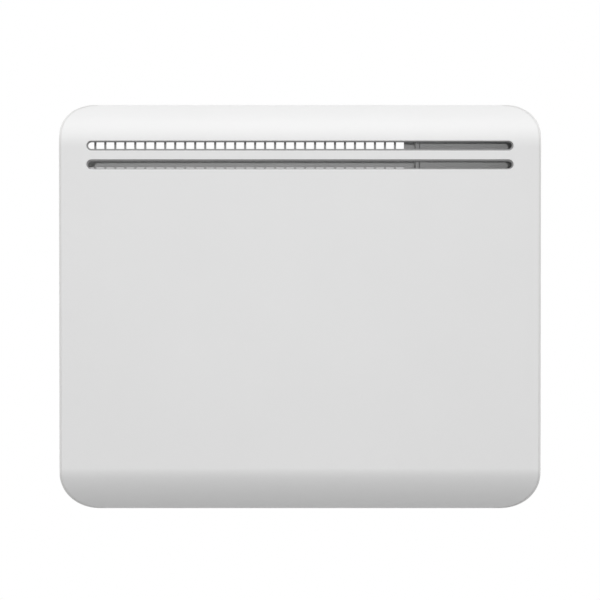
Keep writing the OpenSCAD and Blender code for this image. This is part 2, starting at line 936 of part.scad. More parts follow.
module housing_screws() {
    color(zinc_steel)
        for (place = box_screw_places)
            back_screw(place[0], place[1], back_y, box_screw_l);
}

// Main board and what is soldered to it
module control_board() {
    color(board_green) {
        block([board_x0, board_face_y, board_z0], [board_x1, board_y, board_z1]);
        block([ribbon_x0, board_face_y - header_depth, board_z1 - header_h],
            [ribbon_x1, board_face_y + bite, board_z1]);
    }
}

// A tall part on the board, between two corners in (x, z)
module board_part(low, high) {
    block([low[0], tall_y, low[1]], [high[0], board_face_y, high[1]]);
}

module relay() {
    color("#2a4f7c")
        board_part(relay_xz[0], relay_xz[1]);
}

module transformer() {
    color("#c8b44a")
        board_part(transformer_xz[0], transformer_xz[1]);
}

module capacitor() {
    color(dark_plastic)
        rod_y(capacitor_xz[0], capacitor_xz[1], tall_y, board_face_y, capacitor_r);
}

module terminal_block() {
    color("#d9d9d2")
        board_part([lead_xs[0] - block_margin, block_z0], [lead_xs[3] + block_margin, block_z1]);
}

// Control bezel: flush in the top of the case, with openings for window, buttons and rocker
module control_bezel() {
    z0 = half_h - bezel_depth;
    lip_z1 = half_h - sheet_t - bezel_gap;
    color(dark_plastic)
        difference() {
            union() {
                block([bezel_x0 + bezel_gap, bezel_y0 + bezel_gap, z0],
                    [bezel_x1 - bezel_gap, bezel_y1 - bezel_gap, half_h]);
                block([bezel_x0 - bezel_lip, bezel_y0 - bezel_lip, lip_z1 - bezel_lip_t],
                    [bezel_x1 + bezel_lip, bezel_y1 + bezel_back_lip, lip_z1]);
            }
            difference() {
                block([bezel_x0 + bezel_wall, bezel_y0 + bezel_wall, z0 - cut],
                    [bezel_x1 - bezel_wall, bezel_y1 - bezel_wall, plate_z]);
                for (side = [-1, 1])
                    rod_z(hanger_x, bezel_mid_y + side * hanger_dy, button_board_z, half_h - cut, hanger_r);
            }
            block([window_x0, bezel_mid_y - window_half, half_h - window_t],
                [window_x1, bezel_mid_y + window_half, half_h + cut]);
            block([window_x0 + window_ledge, bezel_mid_y - window_half + window_ledge, plate_z - cut],
                [window_x1 - window_ledge, bezel_mid_y + window_half - window_ledge, half_h]);
            for (x = button_xs)
                rod_z(x, bezel_mid_y, plate_z - cut, half_h + cut, button_d / 2 + button_hole_gap);
            translate([rocker_x, bezel_mid_y, half_h]) cube([rocker_hole[0], rocker_hole[1], 4 * bezel_plate],
                center = true);
        }
}

module display_window() {
    color("#20262b")
        block([window_x0 + window_gap, bezel_mid_y - window_half + window_gap, half_h - window_t],
            [window_x1 - window_gap, bezel_mid_y + window_half - window_gap, half_h]);
}

module display_module() {
    color("#4c5b55")
        block([window_x0 + window_ledge, bezel_mid_y - window_half + window_ledge, button_board_z],
            [window_x1 - window_ledge, bezel_mid_y + window_half - window_ledge, plate_z - fit_gap]);
}

module button_board() {
    color(board_green)
        block([bezel_x0 + bezel_wall + fit_gap, bezel_y0 + bezel_wall + fit_gap, button_board_z - board_t],
            [button_board_x1, bezel_y1 - bezel_wall - fit_gap, button_board_z]);
}

module button_switches() {
    color(dark_plastic)
        for (x = button_xs)
            translate([x, bezel_mid_y, button_board_z + switch_h / 2])
                cube([switch_size, switch_size, switch_h], center = true);
}

module display_ribbon() {
    color("#b9b9b0")
        block([ribbon_x0 + ribbon_t, ribbon_y - ribbon_t / 2, board_z1],
            [ribbon_x1 - ribbon_t, ribbon_y + ribbon_t / 2, button_board_z - board_t]);
}

// Push button: cap through the bezel, collar under it and a stem over its switch
module push_button(x) {
    collar_z = plate_z - rod_gap - button_collar_t;
    rod_z(x, bezel_mid_y, collar_z, half_h + button_proud, button_d / 2);
    rod_z(x, bezel_mid_y, collar_z, collar_z + button_collar_t, button_collar_r);
    rod_z(x, bezel_mid_y, collar_z - button_stem_l, collar_z + button_travel, button_stem_r);
}

module button_minus() {
    color(white_paint) push_button(button_xs[0]);
}

module button_plus() {
    color(white_paint) push_button(button_xs[1]);
}

module button_mode() {
    color(white_paint) push_button(button_xs[2]);
}

// Mains switch: a base with two cheeks, and the rocker between them at off
module switch_body() {
    z0 = half_h - bezel_depth + fit_gap;
    cheek_y = rocker_half_w + cheek_gap;
    color(dark_plastic)
        translate([rocker_x, bezel_mid_y, 0])
            difference() {
                union() {
                    block([-switch_base_half_l, -cheek_y - cheek_t, z0],
                        [switch_base_half_l, cheek_y + cheek_t, z0 + switch_base_t]);
                    for (y0 = [-cheek_y - cheek_t, cheek_y])
                        block([-cheek_half_l, y0, z0], [cheek_half_l, y0 + cheek_t, plate_z]);
                }
                rod_y(0, rocker_pivot_z, -cheek_y - 2 * cheek_t, cheek_y + 2 * cheek_t,
                    rocker_pin_r + rod_gap);
            }
}

module power_rocker() {
    rise = rocker_half_l * tan(rocker_swing / 2);
    pin_half = rocker_half_w + rocker_pin_out;
    color(dark_plastic)
        translate([rocker_x, bezel_mid_y, rocker_pivot_z])
            rotate([0, rocker_swing / 2, 0]) {
                along_y(-rocker_half_w, rocker_half_w)
                    polygon([[0, rocker_valley], [rocker_half_l, rocker_valley + rise],
                        [rocker_half_l, rocker_side], [rocker_keel[0], -rocker_keel[1]],
                        [-rocker_keel[0], -rocker_keel[1]], [-rocker_half_l, rocker_side],
                        [-rocker_half_l, rocker_valley + rise]]);
                rod_y(0, 0, -pin_half, pin_half, rocker_pin_r);
            }
}

// A round lead swept along a smooth curve through its route points
function unit(v) = v / norm(v);

function curve_point(a, b, c, d, t) =
    (2 * b + (c - a) * t + (2 * a - 5 * b + 4 * c - d) * t * t + (3 * b - a - 3 * c + d) * t * t * t) / 2;

function smooth_route(p) = concat(
    [for (i = [0 : len(p) - 2], s = [0 : lead_steps - 1])
        curve_point(p[max(i - 1, 0)], p[i], p[i + 1], p[min(i + 2, len(p) - 1)], s / lead_steps)],
    [p[len(p) - 1]]);

module lead(route, r) {
    path = smooth_route(route);
    last = len(path) - 1;
    rings = [for (i = [0 : last])
        let (ahead = unit(path[min(i + 1, last)] - path[max(i - 1, 0)]),
            across = unit(cross(ahead, lead_tilt)),
            up = cross(ahead, across))
        for (k = [0 : lead_sides - 1])
            path[i] + r * (cos(360 * k / lead_sides) * across + sin(360 * k / lead_sides) * up)];
    walls = [for (i = [0 : last - 1], k = [0 : lead_sides - 1])
        let (a = i * lead_sides + k, b = i * lead_sides + (k + 1) % lead_sides)
        each [[a, a + lead_sides, b], [b, a + lead_sides, b + lead_sides]]];
    first_end = [for (k = [0 : lead_sides - 1]) k];
    last_end = [for (k = [lead_sides - 1 : -1 : 0]) last * lead_sides + k];
    polyhedron(rings, concat(walls, [first_end, last_end]));
}

module lead_live() {
    color("#7a4a2c") lead(route_live, lead_r);
}

module lead_limited() {
    color("#7a4a2c") lead(route_limited, lead_r);
}

module lead_neutral() {
    color("#3c62a8") lead(route_neutral, lead_r);
}

module lead_earth() {
    color("#7fa03c") lead(route_earth, lead_r);
}

module lead_sensor() {
    color(dark_plastic) lead(route_sensor, sensor_lead_r);
}

module earth_stud() {
    color("#c9a94e") {
        rod_y(earth_x, earth_z, earth_tip_y, back_y, earth_r);
        rod_y(earth_x, earth_z, back_y, back_y + head_h, earth_nut_r);
        rod_y(earth_x, earth_z, cover_y - earth_nut_t, cover_y, earth_nut_r);
    }
}

// Cord gland: flush with the underside, with a flange inside and a bore for the mains cord
module cord_gland() {
    z0 = -half_h;
    color(dark_plastic)
        difference() {
            union() {
                rod_z(gland_x, gland_y, z0, z0 + gland_l, gland_r);
                rod_z(gland_x, gland_y, z0 + sheet_t, z0 + sheet_t + gland_flange_t, gland_flange_r);
            }
            rod_z(gland_x, gland_y, z0 - cut, z0 + gland_l + cut, gland_bore_r);
        }
}

wall_bracket();
spring_clip_left();
spring_clip_right();
clip_rivets();
front_panel();
end_cap_left();
end_cap_right();
outlet_liner();
back_cover();
cover_screws();
hinge_bracket_left();
hinge_bracket_right();
hinge_pin_left();
hinge_pin_right();
hinge_rivets();
clip_stud_left();
clip_stud_right();
element_body();
heating_rod();
rod_terminals();
rod_insulators();
element_bracket_left();
element_bracket_right();
element_screws();
heat_shield();
thermal_cutout();
sensor_clip();
temperature_sensor();
control_housing();
control_lid();
lid_screws();
housing_screws();
control_board();
relay();
transformer();
capacitor();
terminal_block();
control_bezel();
display_window();
display_module();
button_board();
button_switches();
display_ribbon();
switch_body();
button_minus();
button_plus();
button_mode();
power_rocker();
lead_live();
lead_limited();
lead_neutral();
lead_earth();
lead_sensor();
earth_stud();
cord_gland();
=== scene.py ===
"""Looks of a slim electric wall panel heater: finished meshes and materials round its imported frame.

The wall is the plane y = 0, the front faces -Y and +Z is up. Lengths are metres.
"""
import json
import math
from collections import namedtuple

import bmesh
import bpy
from mathutils import Matrix, Vector

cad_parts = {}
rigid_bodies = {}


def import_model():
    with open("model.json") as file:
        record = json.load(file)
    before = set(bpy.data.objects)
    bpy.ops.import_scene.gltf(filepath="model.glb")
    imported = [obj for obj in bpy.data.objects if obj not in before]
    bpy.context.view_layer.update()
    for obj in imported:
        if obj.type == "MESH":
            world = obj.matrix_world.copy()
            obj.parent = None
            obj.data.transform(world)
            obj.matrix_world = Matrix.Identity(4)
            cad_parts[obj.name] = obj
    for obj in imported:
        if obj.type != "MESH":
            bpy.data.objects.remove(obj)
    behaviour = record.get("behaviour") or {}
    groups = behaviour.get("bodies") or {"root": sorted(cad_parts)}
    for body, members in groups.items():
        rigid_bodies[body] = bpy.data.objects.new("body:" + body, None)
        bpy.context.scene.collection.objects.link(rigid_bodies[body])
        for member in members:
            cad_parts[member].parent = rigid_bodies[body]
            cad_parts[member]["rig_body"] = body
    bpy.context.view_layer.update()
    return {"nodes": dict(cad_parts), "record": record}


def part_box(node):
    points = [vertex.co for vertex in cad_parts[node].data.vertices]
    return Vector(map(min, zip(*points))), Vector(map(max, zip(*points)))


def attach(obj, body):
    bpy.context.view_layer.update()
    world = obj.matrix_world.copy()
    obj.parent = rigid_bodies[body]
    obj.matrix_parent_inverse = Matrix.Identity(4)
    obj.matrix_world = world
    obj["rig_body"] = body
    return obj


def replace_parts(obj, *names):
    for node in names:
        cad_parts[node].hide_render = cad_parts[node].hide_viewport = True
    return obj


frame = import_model()

MM = 0.001

# Planes of the case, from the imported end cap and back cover
CAP_LOW, CAP_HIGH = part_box("end_cap_right")
HALF_W = CAP_HIGH.x
HALF_H = CAP_HIGH.z
FRONT_Y = CAP_LOW.y
BACK_Y = CAP_HIGH.y
COVER_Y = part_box("back_cover")[0].y

# Side profile: a flat front that bends softly into a roll at its top and bottom
ROLL_R = 47 * MM
CREASE = math.radians(10.5)
ROLL_Y = FRONT_Y + ROLL_R * math.cos(CREASE)
ROLL_Z = HALF_H - ROLL_R
BLEND_R = 30 * MM
BLEND_Y = FRONT_Y + BLEND_R
BLEND_Z = ROLL_Z + math.sqrt((ROLL_R - BLEND_R) ** 2 - (ROLL_Y - BLEND_Y) ** 2)
BLEND_TURN = math.asin((BLEND_Z - ROLL_Z) / (ROLL_R - BLEND_R))

# Front sheet: outline, thickness, and the flanges along its back edges
CORNER_TOP = 30 * MM
CORNER_BOTTOM = 37 * MM
SHEET_T = 1.2 * MM
SHEET_EDGE = 0.22 * MM
FLANGE_H = 12 * MM
FLANGE_GAP = 2 * MM
FLANGE_EDGE = 0.3 * MM

# End caps: wall, rim, ledge behind the sheet's edge, and the hairline joint between the two
CAP_T = 1.6 * MM
CAP_RIM_R = 0.45 * MM
CAP_EASE = 0.3 * MM
LEDGE_T = 1.5 * MM
LEDGE_W = 3 * MM
SEAM = 0.2 * MM
JOINT = 0.06 * MM
JOINT_EDGE = 0.12 * MM
PANEL_INSET = CAP_T + SEAM

# Screw bosses in the end caps, for the back cover
BOSS_ZS = (-80 * MM, 80 * MM)
BOSS_INSET = 8 * MM
BOSS_H = 14 * MM
BOSS_R = 4 * MM
BOSS_FLOOR = 1 * MM
PILOT_R = 1.55 * MM

# Outlet slots and the liner behind them
SLOT_R = 4.4 * MM
SLOT_STRAIGHT = 185.6 * MM
SLOT_ZS = (HALF_H - 40.8 * MM, HALF_H - 57.5 * MM)
LINER_T = 1.8 * MM
LINER_LIP = 1.3 * MM
LINER_LIFT = 0.2 * MM
LINER_DROP = 0.3 * MM
LINER_ZS = (SLOT_ZS[0] + LINER_LIFT, SLOT_ZS[1] - LINER_DROP)
LINER_EDGE = 0.5 * MM

# Openings in the top and the underside
BEZEL_LOW, BEZEL_HIGH = Vector((112, -37, 0)) * MM, Vector((182, -25, 0)) * MM
INLET_XS = [(-140 + 60 * i) * MM for i in range(5)]
INLET_Y = -31 * MM
INLET_R = 4.5 * MM
INLET_STRAIGHT = 22.5 * MM
GLAND_X = 150 * MM
GLAND_HOLE = 5.2 * MM

# Mains rocker: its pivot, the tilt at off and the valley between its two faces
ROCKER_AT = Vector((174.2, -31, 181.4)) * MM
ROCKER_TILT = math.radians(8)
ROCKER_VALLEY = 2.5 * MM

# Printed marks
MARK_T = 0.04 * MM
MARK_RING_R = 1.1 * MM

# How finely curves are drawn: steps in a rounded edge, and degrees round a slot's end or a corner
ROUND_STEPS = 4
SLOT_TURNS = range(90, -91, -15)
CORNER_TURNS = range(90, -1, -3)
SMALL_LATHE_STEPS = 24

# Turns of a lathed axis from upright to the front or to the wall
TO_FRONT = Matrix.Rotation(math.pi / 2, 4, "X")
TO_WALL = Matrix.Rotation(-math.pi / 2, 4, "X")

SLOT_OF = {part["node"]: part["material_slot"] for part in frame["record"]["subparts"]}


# Small helpers

def rgb(code):
    """A colour from its sRGB hex code, as the linear values that shaders take."""
    parts = [int(code[i:i + 2], 16) / 255 for i in (1, 3, 5)]
    linear = [c / 12.92 if c <= 0.04045 else ((c + 0.055) / 1.055) ** 2.4 for c in parts]
    return (*linear, 1.0)


def add(tree, kind, links=None, **settings):
    """Adds a node with its settings, and fills its sockets with values or other nodes' sockets."""
    made = tree.nodes.new(kind)
    for name, value in settings.items():
        setattr(made, name, value)
    for socket, value in (links or {}).items():
        if isinstance(value, bpy.types.NodeSocket):
            tree.links.new(value, made.inputs[socket])
        else:
            made.inputs[socket].default_value = value
    return made


def smooth_object(name, mesh):
    """An object of a mesh with smooth faces, linked to the scene."""
    for face in mesh.polygons:
        face.use_smooth = True
    made = bpy.data.objects.new(name, mesh)
    bpy.context.scene.collection.objects.link(made)
    return made


def from_faces(name, points, faces, normals=None):
    """An object of the given faces, with its own normals where they are given."""
    mesh = bpy.data.meshes.new(name)
    mesh.from_pydata([tuple(p) for p in points], [], faces)
    mesh.validate()
    made = smooth_object(name, mesh)
    if normals:
        mesh.normals_split_custom_set_from_vertices([tuple(n) for n in normals])
    return made


def from_bmesh(name, bm, sharp=35):
    """An object of an edited mesh, smooth but for the edges sharper than an angle in degrees."""
    mesh = bpy.data.meshes.new(name)
    bm.to_mesh(mesh)
    bm.free()
    made = smooth_object(name, mesh)
    mesh.set_sharp_from_angle(angle=math.radians(sharp))
    weights = made.modifiers.new("even_shading", "WEIGHTED_NORMAL")
    weights.keep_sharp = True
    return made


def add_to(piece, material, node):
    """Puts a small added piece on the body of a CAD node, with the given material."""
    piece.data.materials.append(material)
    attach(piece, frame["nodes"][node]["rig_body"])
    return piece


def stand_for(piece, material, node):
    """Puts a finished piece in the place of a CAD node, on its body and with the given material."""
    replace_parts(add_to(piece, material, node), node)
    return piece


def quarter_turn(first=0):
    """Angles of the steps of a rounded edge, up to a right angle."""
    return [math.radians(90 / ROUND_STEPS * k) for k in range(first, ROUND_STEPS + 1)]


def slab(bm, low, high, radius):
    """Adds a box with rounded edges to an edited mesh.

    It is rounded apart and then added, which keeps the order of the faces the same on each run.
    """
    low, high = Vector(low), Vector(high)
    size = Matrix.Diagonal((*(high - low), 1))
    box = bmesh.new()
    bmesh.ops.create_cube(box, size=1, matrix=Matrix.Translation((low + high) / 2) @ size)
    bmesh.ops.bevel(box, geom=list(box.edges), offset=radius, segments=3, profile=0.5,
                    affect="EDGES", clamp_overlap=True)
    mesh = bpy.data.meshes.new("slab")
    box.to_mesh(mesh)
    box.free()
    bm.from_mesh(mesh)
    bpy.data.meshes.remove(mesh)


def lathe(bm, section, place, steps=40):
    """Adds a turned shape to an edited mesh: (radius, height) pairs swept round a place's axis.

    A section that starts or ends at radius 0 is closed there.
    """
    turns = [math.tau * k / steps for k in range(steps)]
    rings = []
    for radius, height in section:
        spots = [(radius * math.cos(t), radius * math.sin(t), height)
                 for t in (turns if radius else turns[:1])]
        rings.append([bm.verts.new(place @ Vector(spot)) for spot in spots])
    for a, b in zip(rings, rings[1:]):
        for k in range(steps):
            corners = [a[k % len(a)], a[(k + 1) % len(a)], b[(k + 1) % len(b)], b[k % len(b)]]
            bm.faces.new(list(dict.fromkeys(corners)))


def marks(name, outlines, place):
    """Thin printed marks: flat outlines in (x, y), laid on the plane of a place."""
    bm = bmesh.new()
    for outline in outlines:
        under, upper = ([bm.verts.new(place @ Vector((x, y, z))) for x, y in outline]
                        for z in (-MARK_T, MARK_T))
        bm.faces.new(upper)
        bm.faces.new(list(reversed(under)))
        for k in range(len(outline)):
            bm.faces.new((under[k - 1], under[k], upper[k], upper[k - 1]))
    return from_bmesh(name, bm)


def bar(start, end, half, point=0.0):
    """Outline of a straight stroke of a mark, with ends that may be pointed."""
    start, end = Vector(start), Vector(end)
    ahead = (end - start).normalized()
    across = Vector((-ahead.y, ahead.x)) * half
    tip = ahead * point
    corners = [start, start + tip - across, end - tip - across,
               end, end - tip + across, start + tip + across]
    return [tuple(c) for c in (corners if point else corners[1:3] + corners[4:])]


def ring(radius, half, centre=(0, 0), steps=24):
    """Outlines of the short strokes that make a round mark."""
    turns = [math.tau * k / steps for k in range(steps + 1)]
    inner, outer = radius - half, radius + half
    made = []
    for a, b in zip(turns, turns[1:]):
        made.append([(centre[0] + r * math.cos(t), centre[1] + r * math.sin(t))
                     for r, t in ((inner, a), (outer, a), (outer, b), (inner, b))])
    return made


# Materials
# Sizes of patches, grain and relief are in millimetres. The grain of moulded, plated and printed
# surfaces is really under 0.2 mm, too fine to show, so it is drawn as coarse as it needs to show.

# Sockets of a mix node's colours, whose names its sockets for numbers share
MIX_A, MIX_B, MIX_RESULT = 6, 7, 2

# Most of a noise pattern lies between these values
NOISE_LOW, NOISE_HIGH = 0.3, 0.7


def finish(name, tones, sockets, roughness, patch_mm, grain_mm, relief_mm, stretch=(1, 1, 1)):
    """A surface whose colour drifts between two near tones in patches, with a fine grain.

    The grain shows in the relief, and in a roughness that runs between two values. A stretch below
    1 draws the pattern out along that axis, as rolling and extruding do.
    """
    material = bpy.data.materials.new(name)
    material.use_nodes = True
    tree = material.node_tree
    shader = tree.nodes["Principled BSDF"]
    for socket, value in sockets.items():
        shader.inputs[socket].default_value = value
    place = add(tree, "ShaderNodeTexCoord").outputs["Object"]
    place = add(tree, "ShaderNodeMapping", {"Vector": place, "Scale": stretch}).outputs["Vector"]
    patches = add(tree, "ShaderNodeTexNoise",
                  {"Vector": place, "Scale": 1 / (patch_mm * MM), "Detail": 3.0})
    colour = add(tree, "ShaderNodeMix",
                 {"Factor": patches.outputs["Fac"], MIX_A: rgb(tones[0]), MIX_B: rgb(tones[1])},
                 data_type="RGBA")
    grain = add(tree, "ShaderNodeTexNoise",
                {"Vector": place, "Scale": 1 / (grain_mm * MM), "Detail": 2.0})
    rough = add(tree, "ShaderNodeMapRange",
                {"Value": grain.outputs["Fac"], "From Min": NOISE_LOW, "From Max": NOISE_HIGH,
                 "To Min": roughness[0], "To Max": roughness[1]})
    relief = add(tree, "ShaderNodeBump",
                 {"Height": grain.outputs["Fac"], "Distance": relief_mm * MM})
    tree.links.new(colour.outputs[MIX_RESULT], shader.inputs["Base Color"])
    tree.links.new(rough.outputs["Result"], shader.inputs["Roughness"])
    tree.links.new(relief.outputs["Normal"], shader.inputs["Normal"])
    return material


def earth_stripe(material, middle_x):
    """Turns one half of a lead's insulation yellow, along a line that runs the lead's length."""
    blur = 0.1 * MM
    tree = material.node_tree
    shader = tree.nodes["Principled BSDF"]
    place = add(tree, "ShaderNodeTexCoord").outputs["Object"]
    across = add(tree, "ShaderNodeSeparateXYZ", {0: place}).outputs["X"]
    side = add(tree, "ShaderNodeMapRange",
               {"Value": across, "From Min": middle_x - blur, "From Max": middle_x + blur})
    green = shader.inputs["Base Color"].links[0].from_socket
    both = add(tree, "ShaderNodeMix",
               {"Factor": side.outputs["Result"], MIX_A: green, MIX_B: rgb("#d8c22e")},
               data_type="RGBA")
    tree.links.new(both.outputs[MIX_RESULT], shader.inputs["Base Color"])


METAL = {"Metallic": 1.0}
PVC = {"IOR": 1.52}

# Baked powder coat on sheet steel: an even satin white with a faint orange peel
POWDER_COAT = finish("powder_coated_steel", ("#e7e7e7", "#e4e4e4"), {"IOR": 1.5},
                     roughness=(0.42, 0.5), patch_mm=60, grain_mm=2.2, relief_mm=0.012)

# Moulded white ABS of the end caps: a touch greyer than the sheet, with a spark-eroded grain
WHITE_ABS = finish("moulded_white_abs", ("#dfdfde", "#dcdcdb"), {"IOR": 1.53},
                   roughness=(0.48, 0.58), patch_mm=25, grain_mm=0.6, relief_mm=0.02)

# Moulded grey polypropylene of the liner, waxy and even; its mid grey is partly painted shade for the
# rim in the slots
GREY_PP_WITH_PAINTED_SHADE = finish("grey_polypropylene_with_painted_shade", ("#8f8f8f", "#888888"), {"IOR": 1.49},
                 roughness=(0.45, 0.55), patch_mm=20, grain_mm=0.7, relief_mm=0.02)

# Moulded pale grey ABS of the thermostat box: fine texture, dull
GREY_ABS = finish("moulded_pale_grey_abs", ("#dddddd", "#d8d8d8"), {"IOR": 1.53},
                  roughness=(0.5, 0.6), patch_mm=20, grain_mm=0.6, relief_mm=0.025)

# Moulded black nylon: fine texture that greys in grazing light
BLACK_NYLON = finish("moulded_black_nylon", ("#303133", "#2a2b2d"), {"IOR": 1.53},
                     roughness=(0.42, 0.55), patch_mm=8, grain_mm=0.4, relief_mm=0.02)

# Polished black polycarbonate of the rocker: deep and glossy
GLOSS_BLACK = finish("polished_black_polycarbonate", ("#1d1e20", "#18191b"), {"IOR": 1.58},
                     roughness=(0.16, 0.24), patch_mm=6, grain_mm=1.5, relief_mm=0.004)

# Satin white ABS of the push buttons: finer and smoother than the caps
BUTTON_ABS = finish("satin_white_abs", ("#e3e3e1", "#dfdfdd"), {"IOR": 1.53},
                    roughness=(0.34, 0.42), patch_mm=6, grain_mm=0.3, relief_mm=0.008)

# Smoked acrylic: a dark clear window with a hard polish
SMOKED_ACRYLIC = finish("smoked_acrylic", ("#5a6066", "#565c62"),
                        {"IOR": 1.49, "Transmission Weight": 1.0},
                        roughness=(0.03, 0.07), patch_mm=12, grain_mm=4, relief_mm=0.002)

# Face of an unlit numeric display: dull near-black epoxy
DISPLAY_FACE = finish("display_face_epoxy", ("#202325", "#1b1e20"), {"IOR": 1.55},
                      roughness=(0.5, 0.62), patch_mm=5, grain_mm=0.3, relief_mm=0.01)

# Unlit light guides of the display's digits: milky grey epoxy
DIGIT_EPOXY = finish("milky_digit_epoxy", ("#9fa29f", "#969996"), {"IOR": 1.55},
                     roughness=(0.4, 0.5), patch_mm=1.5, grain_mm=0.2, relief_mm=0.004)

# Printed ink of the button and rocker symbols: matt, slightly uneven
GREY_INK = finish("grey_pad_print", ("#4d5054", "#45484c"), {"IOR": 1.45},
                  roughness=(0.55, 0.68), patch_mm=0.8, grain_mm=0.12, relief_mm=0.003)
WHITE_INK = finish("white_pad_print", ("#e2e2df", "#d8d8d5"), {"IOR": 1.45},
                   roughness=(0.55, 0.68), patch_mm=0.8, grain_mm=0.12, relief_mm=0.003)

# Zinc plate on pressed steel: a soft grey sheen with a cloudy, faintly spangled surface
ZINC_PLATE = finish("zinc_plated_steel", ("#c3c6c9", "#a9adb1"), METAL,
                    roughness=(0.3, 0.46), patch_mm=7, grain_mm=1.2, relief_mm=0.008)

# Zinc plate on turned fasteners: brighter and smoother than the pressings
BRIGHT_ZINC = finish("bright_zinc_fasteners", ("#cfd0d0", "#bfc1c3"), METAL,
                     roughness=(0.22, 0.34), patch_mm=2, grain_mm=0.5, relief_mm=0.004)

# Tempered spring strip: darker, bluish and oily
SPRING_STEEL = finish("tempered_spring_steel", ("#7f858c", "#6c7077"), METAL,
                      roughness=(0.25, 0.38), patch_mm=4, grain_mm=0.6, relief_mm=0.004)

# Extruded aluminium of the element: pale, with die lines along its length
EXTRUDED_ALUMINIUM = finish("extruded_aluminium", ("#cfd1d3", "#babdc0"), METAL,
                            roughness=(0.3, 0.45), patch_mm=3, grain_mm=0.5, relief_mm=0.01,
                            stretch=(0.02, 1, 1))

# Rolled aluminium foil stock of the shield: bright, with fine rolling streaks
ROLLED_ALUMINIUM = finish("rolled_aluminium", ("#d6d7d8", "#c4c6c8"), METAL,
                          roughness=(0.2, 0.34), patch_mm=6, grain_mm=0.4, relief_mm=0.005,
                          stretch=(0.03, 1, 1))

# Heat-tinted steel sheath of the rod: straw and brown clouds on grey
SHEATH_STEEL = finish("heat_tinted_sheath_steel", ("#7d756c", "#5c5a5f"), METAL,
                      roughness=(0.32, 0.48), patch_mm=14, grain_mm=0.5, relief_mm=0.006)

# Glazed steatite of the insulators: ivory, hard and glossy with faint specks
STEATITE = finish("glazed_steatite", ("#ece7dc", "#e2dccd"), {"IOR": 1.6},
                  roughness=(0.16, 0.26), patch_mm=2, grain_mm=0.5, relief_mm=0.004)

# Circuit board: green solder mask over a woven glass base, whose weave shows as a faint drift
LAMINATE = finish("solder_masked_laminate", ("#1f5c3b", "#276b46"), {"IOR": 1.55},
                  roughness=(0.26, 0.38), patch_mm=1.2, grain_mm=0.35, relief_mm=0.01)

# Relay case: dark blue polyester
RELAY_PBT = finish("blue_relay_polyester", ("#2b4663", "#263f5a"), {"IOR": 1.55},
                   roughness=(0.36, 0.46), patch_mm=5, grain_mm=0.4, relief_mm=0.01)

# Transformer winding tape: thin yellow polyester film
YELLOW_TAPE = finish("yellow_polyester_tape", ("#d3b944", "#c5aa3a"), {"IOR": 1.6},
                     roughness=(0.22, 0.34), patch_mm=4, grain_mm=0.5, relief_mm=0.02)

# Transformer core: sintered ferrite, dark, dull and slightly porous
FERRITE = finish("sintered_ferrite", ("#3b3a3c", "#323134"), {"IOR": 1.7},
                 roughness=(0.5, 0.66), patch_mm=2, grain_mm=0.25, relief_mm=0.02)

# Terminal block: pale polyamide with a waxy look
BLOCK_NYLON = finish("pale_block_polyamide", ("#d9d9cf", "#cfcfc4"), {"IOR": 1.53},
                     roughness=(0.4, 0.5), patch_mm=4, grain_mm=0.4, relief_mm=0.012)

# Flat ribbon: grey PVC with lengthwise ribs over its wires
RIBBON_PVC = finish("grey_ribbon_pvc", ("#b9b9b1", "#a8a8a0"), PVC,
                    roughness=(0.4, 0.5), patch_mm=2, grain_mm=0.6, relief_mm=0.03,
                    stretch=(1, 1, 0.02))

# Lead insulation: smooth extruded PVC with a slightly uneven surface
LEAD_SKIN = {"roughness": (0.3, 0.4), "patch_mm": 8, "grain_mm": 0.8, "relief_mm": 0.01}
BROWN_PVC = finish("brown_lead_pvc", ("#6b4429", "#5f3b23"), PVC, **LEAD_SKIN)
BLUE_PVC = finish("blue_lead_pvc", ("#3062a8", "#2a5797"), PVC, **LEAD_SKIN)
BLACK_PVC = finish("black_lead_pvc", ("#2b2c2e", "#242527"), PVC, **LEAD_SKIN)
EARTH_PVC = finish("green_yellow_lead_pvc", ("#2f8b42", "#2a7f3b"), PVC, **LEAD_SKIN)
earth_stripe(EARTH_PVC, sum(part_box("lead_earth"), Vector()).x / 2)

# Turned brass of the earth stud and the terminal screws: warm, with a dulled cut
BRASS = finish("turned_brass", ("#c9a65c", "#b3914a"), METAL,
               roughness=(0.24, 0.38), patch_mm=2, grain_mm=0.3, relief_mm=0.006)

SLOT_FINISH = {
    "white_steel": POWDER_COAT,
    "cap_plastic": WHITE_ABS,
    "liner_plastic": GREY_PP_WITH_PAINTED_SHADE,
    "zinc_steel": ZINC_PLATE,
    "screw_steel": BRIGHT_ZINC,
    "spring_steel": SPRING_STEEL,
    "element_aluminium": EXTRUDED_ALUMINIUM,
    "shield_aluminium": ROLLED_ALUMINIUM,
    "rod_steel": SHEATH_STEEL,
    "insulator_ceramic": STEATITE,
    "box_plastic": GREY_ABS,
    "dark_plastic": BLACK_NYLON,
    "rocker_plastic": GLOSS_BLACK,
    "board_laminate": LAMINATE,
    "window_acrylic": SMOKED_ACRYLIC,
    "display_glass": DISPLAY_FACE,
    "ribbon_plastic": RIBBON_PVC,
    "brown_lead": BROWN_PVC,
    "blue_lead": BLUE_PVC,
    "earth_lead": EARTH_PVC,
    "black_lead": BLACK_PVC,
    "stud_brass": BRASS,
}


# Sheets with real thickness and rounded edges

# Least cosine by which an edge's reach is divided where two edges meet in a corner
MITRE_LIMIT = 0.5


def edge_steps(radius, thickness):
    """A sheet's edge in steps: outward, depth, share of face normal, share of outward direction."""
    steps = []
    for turn in quarter_turn(1):
        out, ahead = math.sin(turn), math.cos(turn)
        steps.append((radius * out, radius * (1 - ahead), ahead, out))
    inner = radius / 2
    steps.append((radius, thickness - inner, 0, 1))
    steps.append((radius - inner, thickness, -1, 0))
    return steps


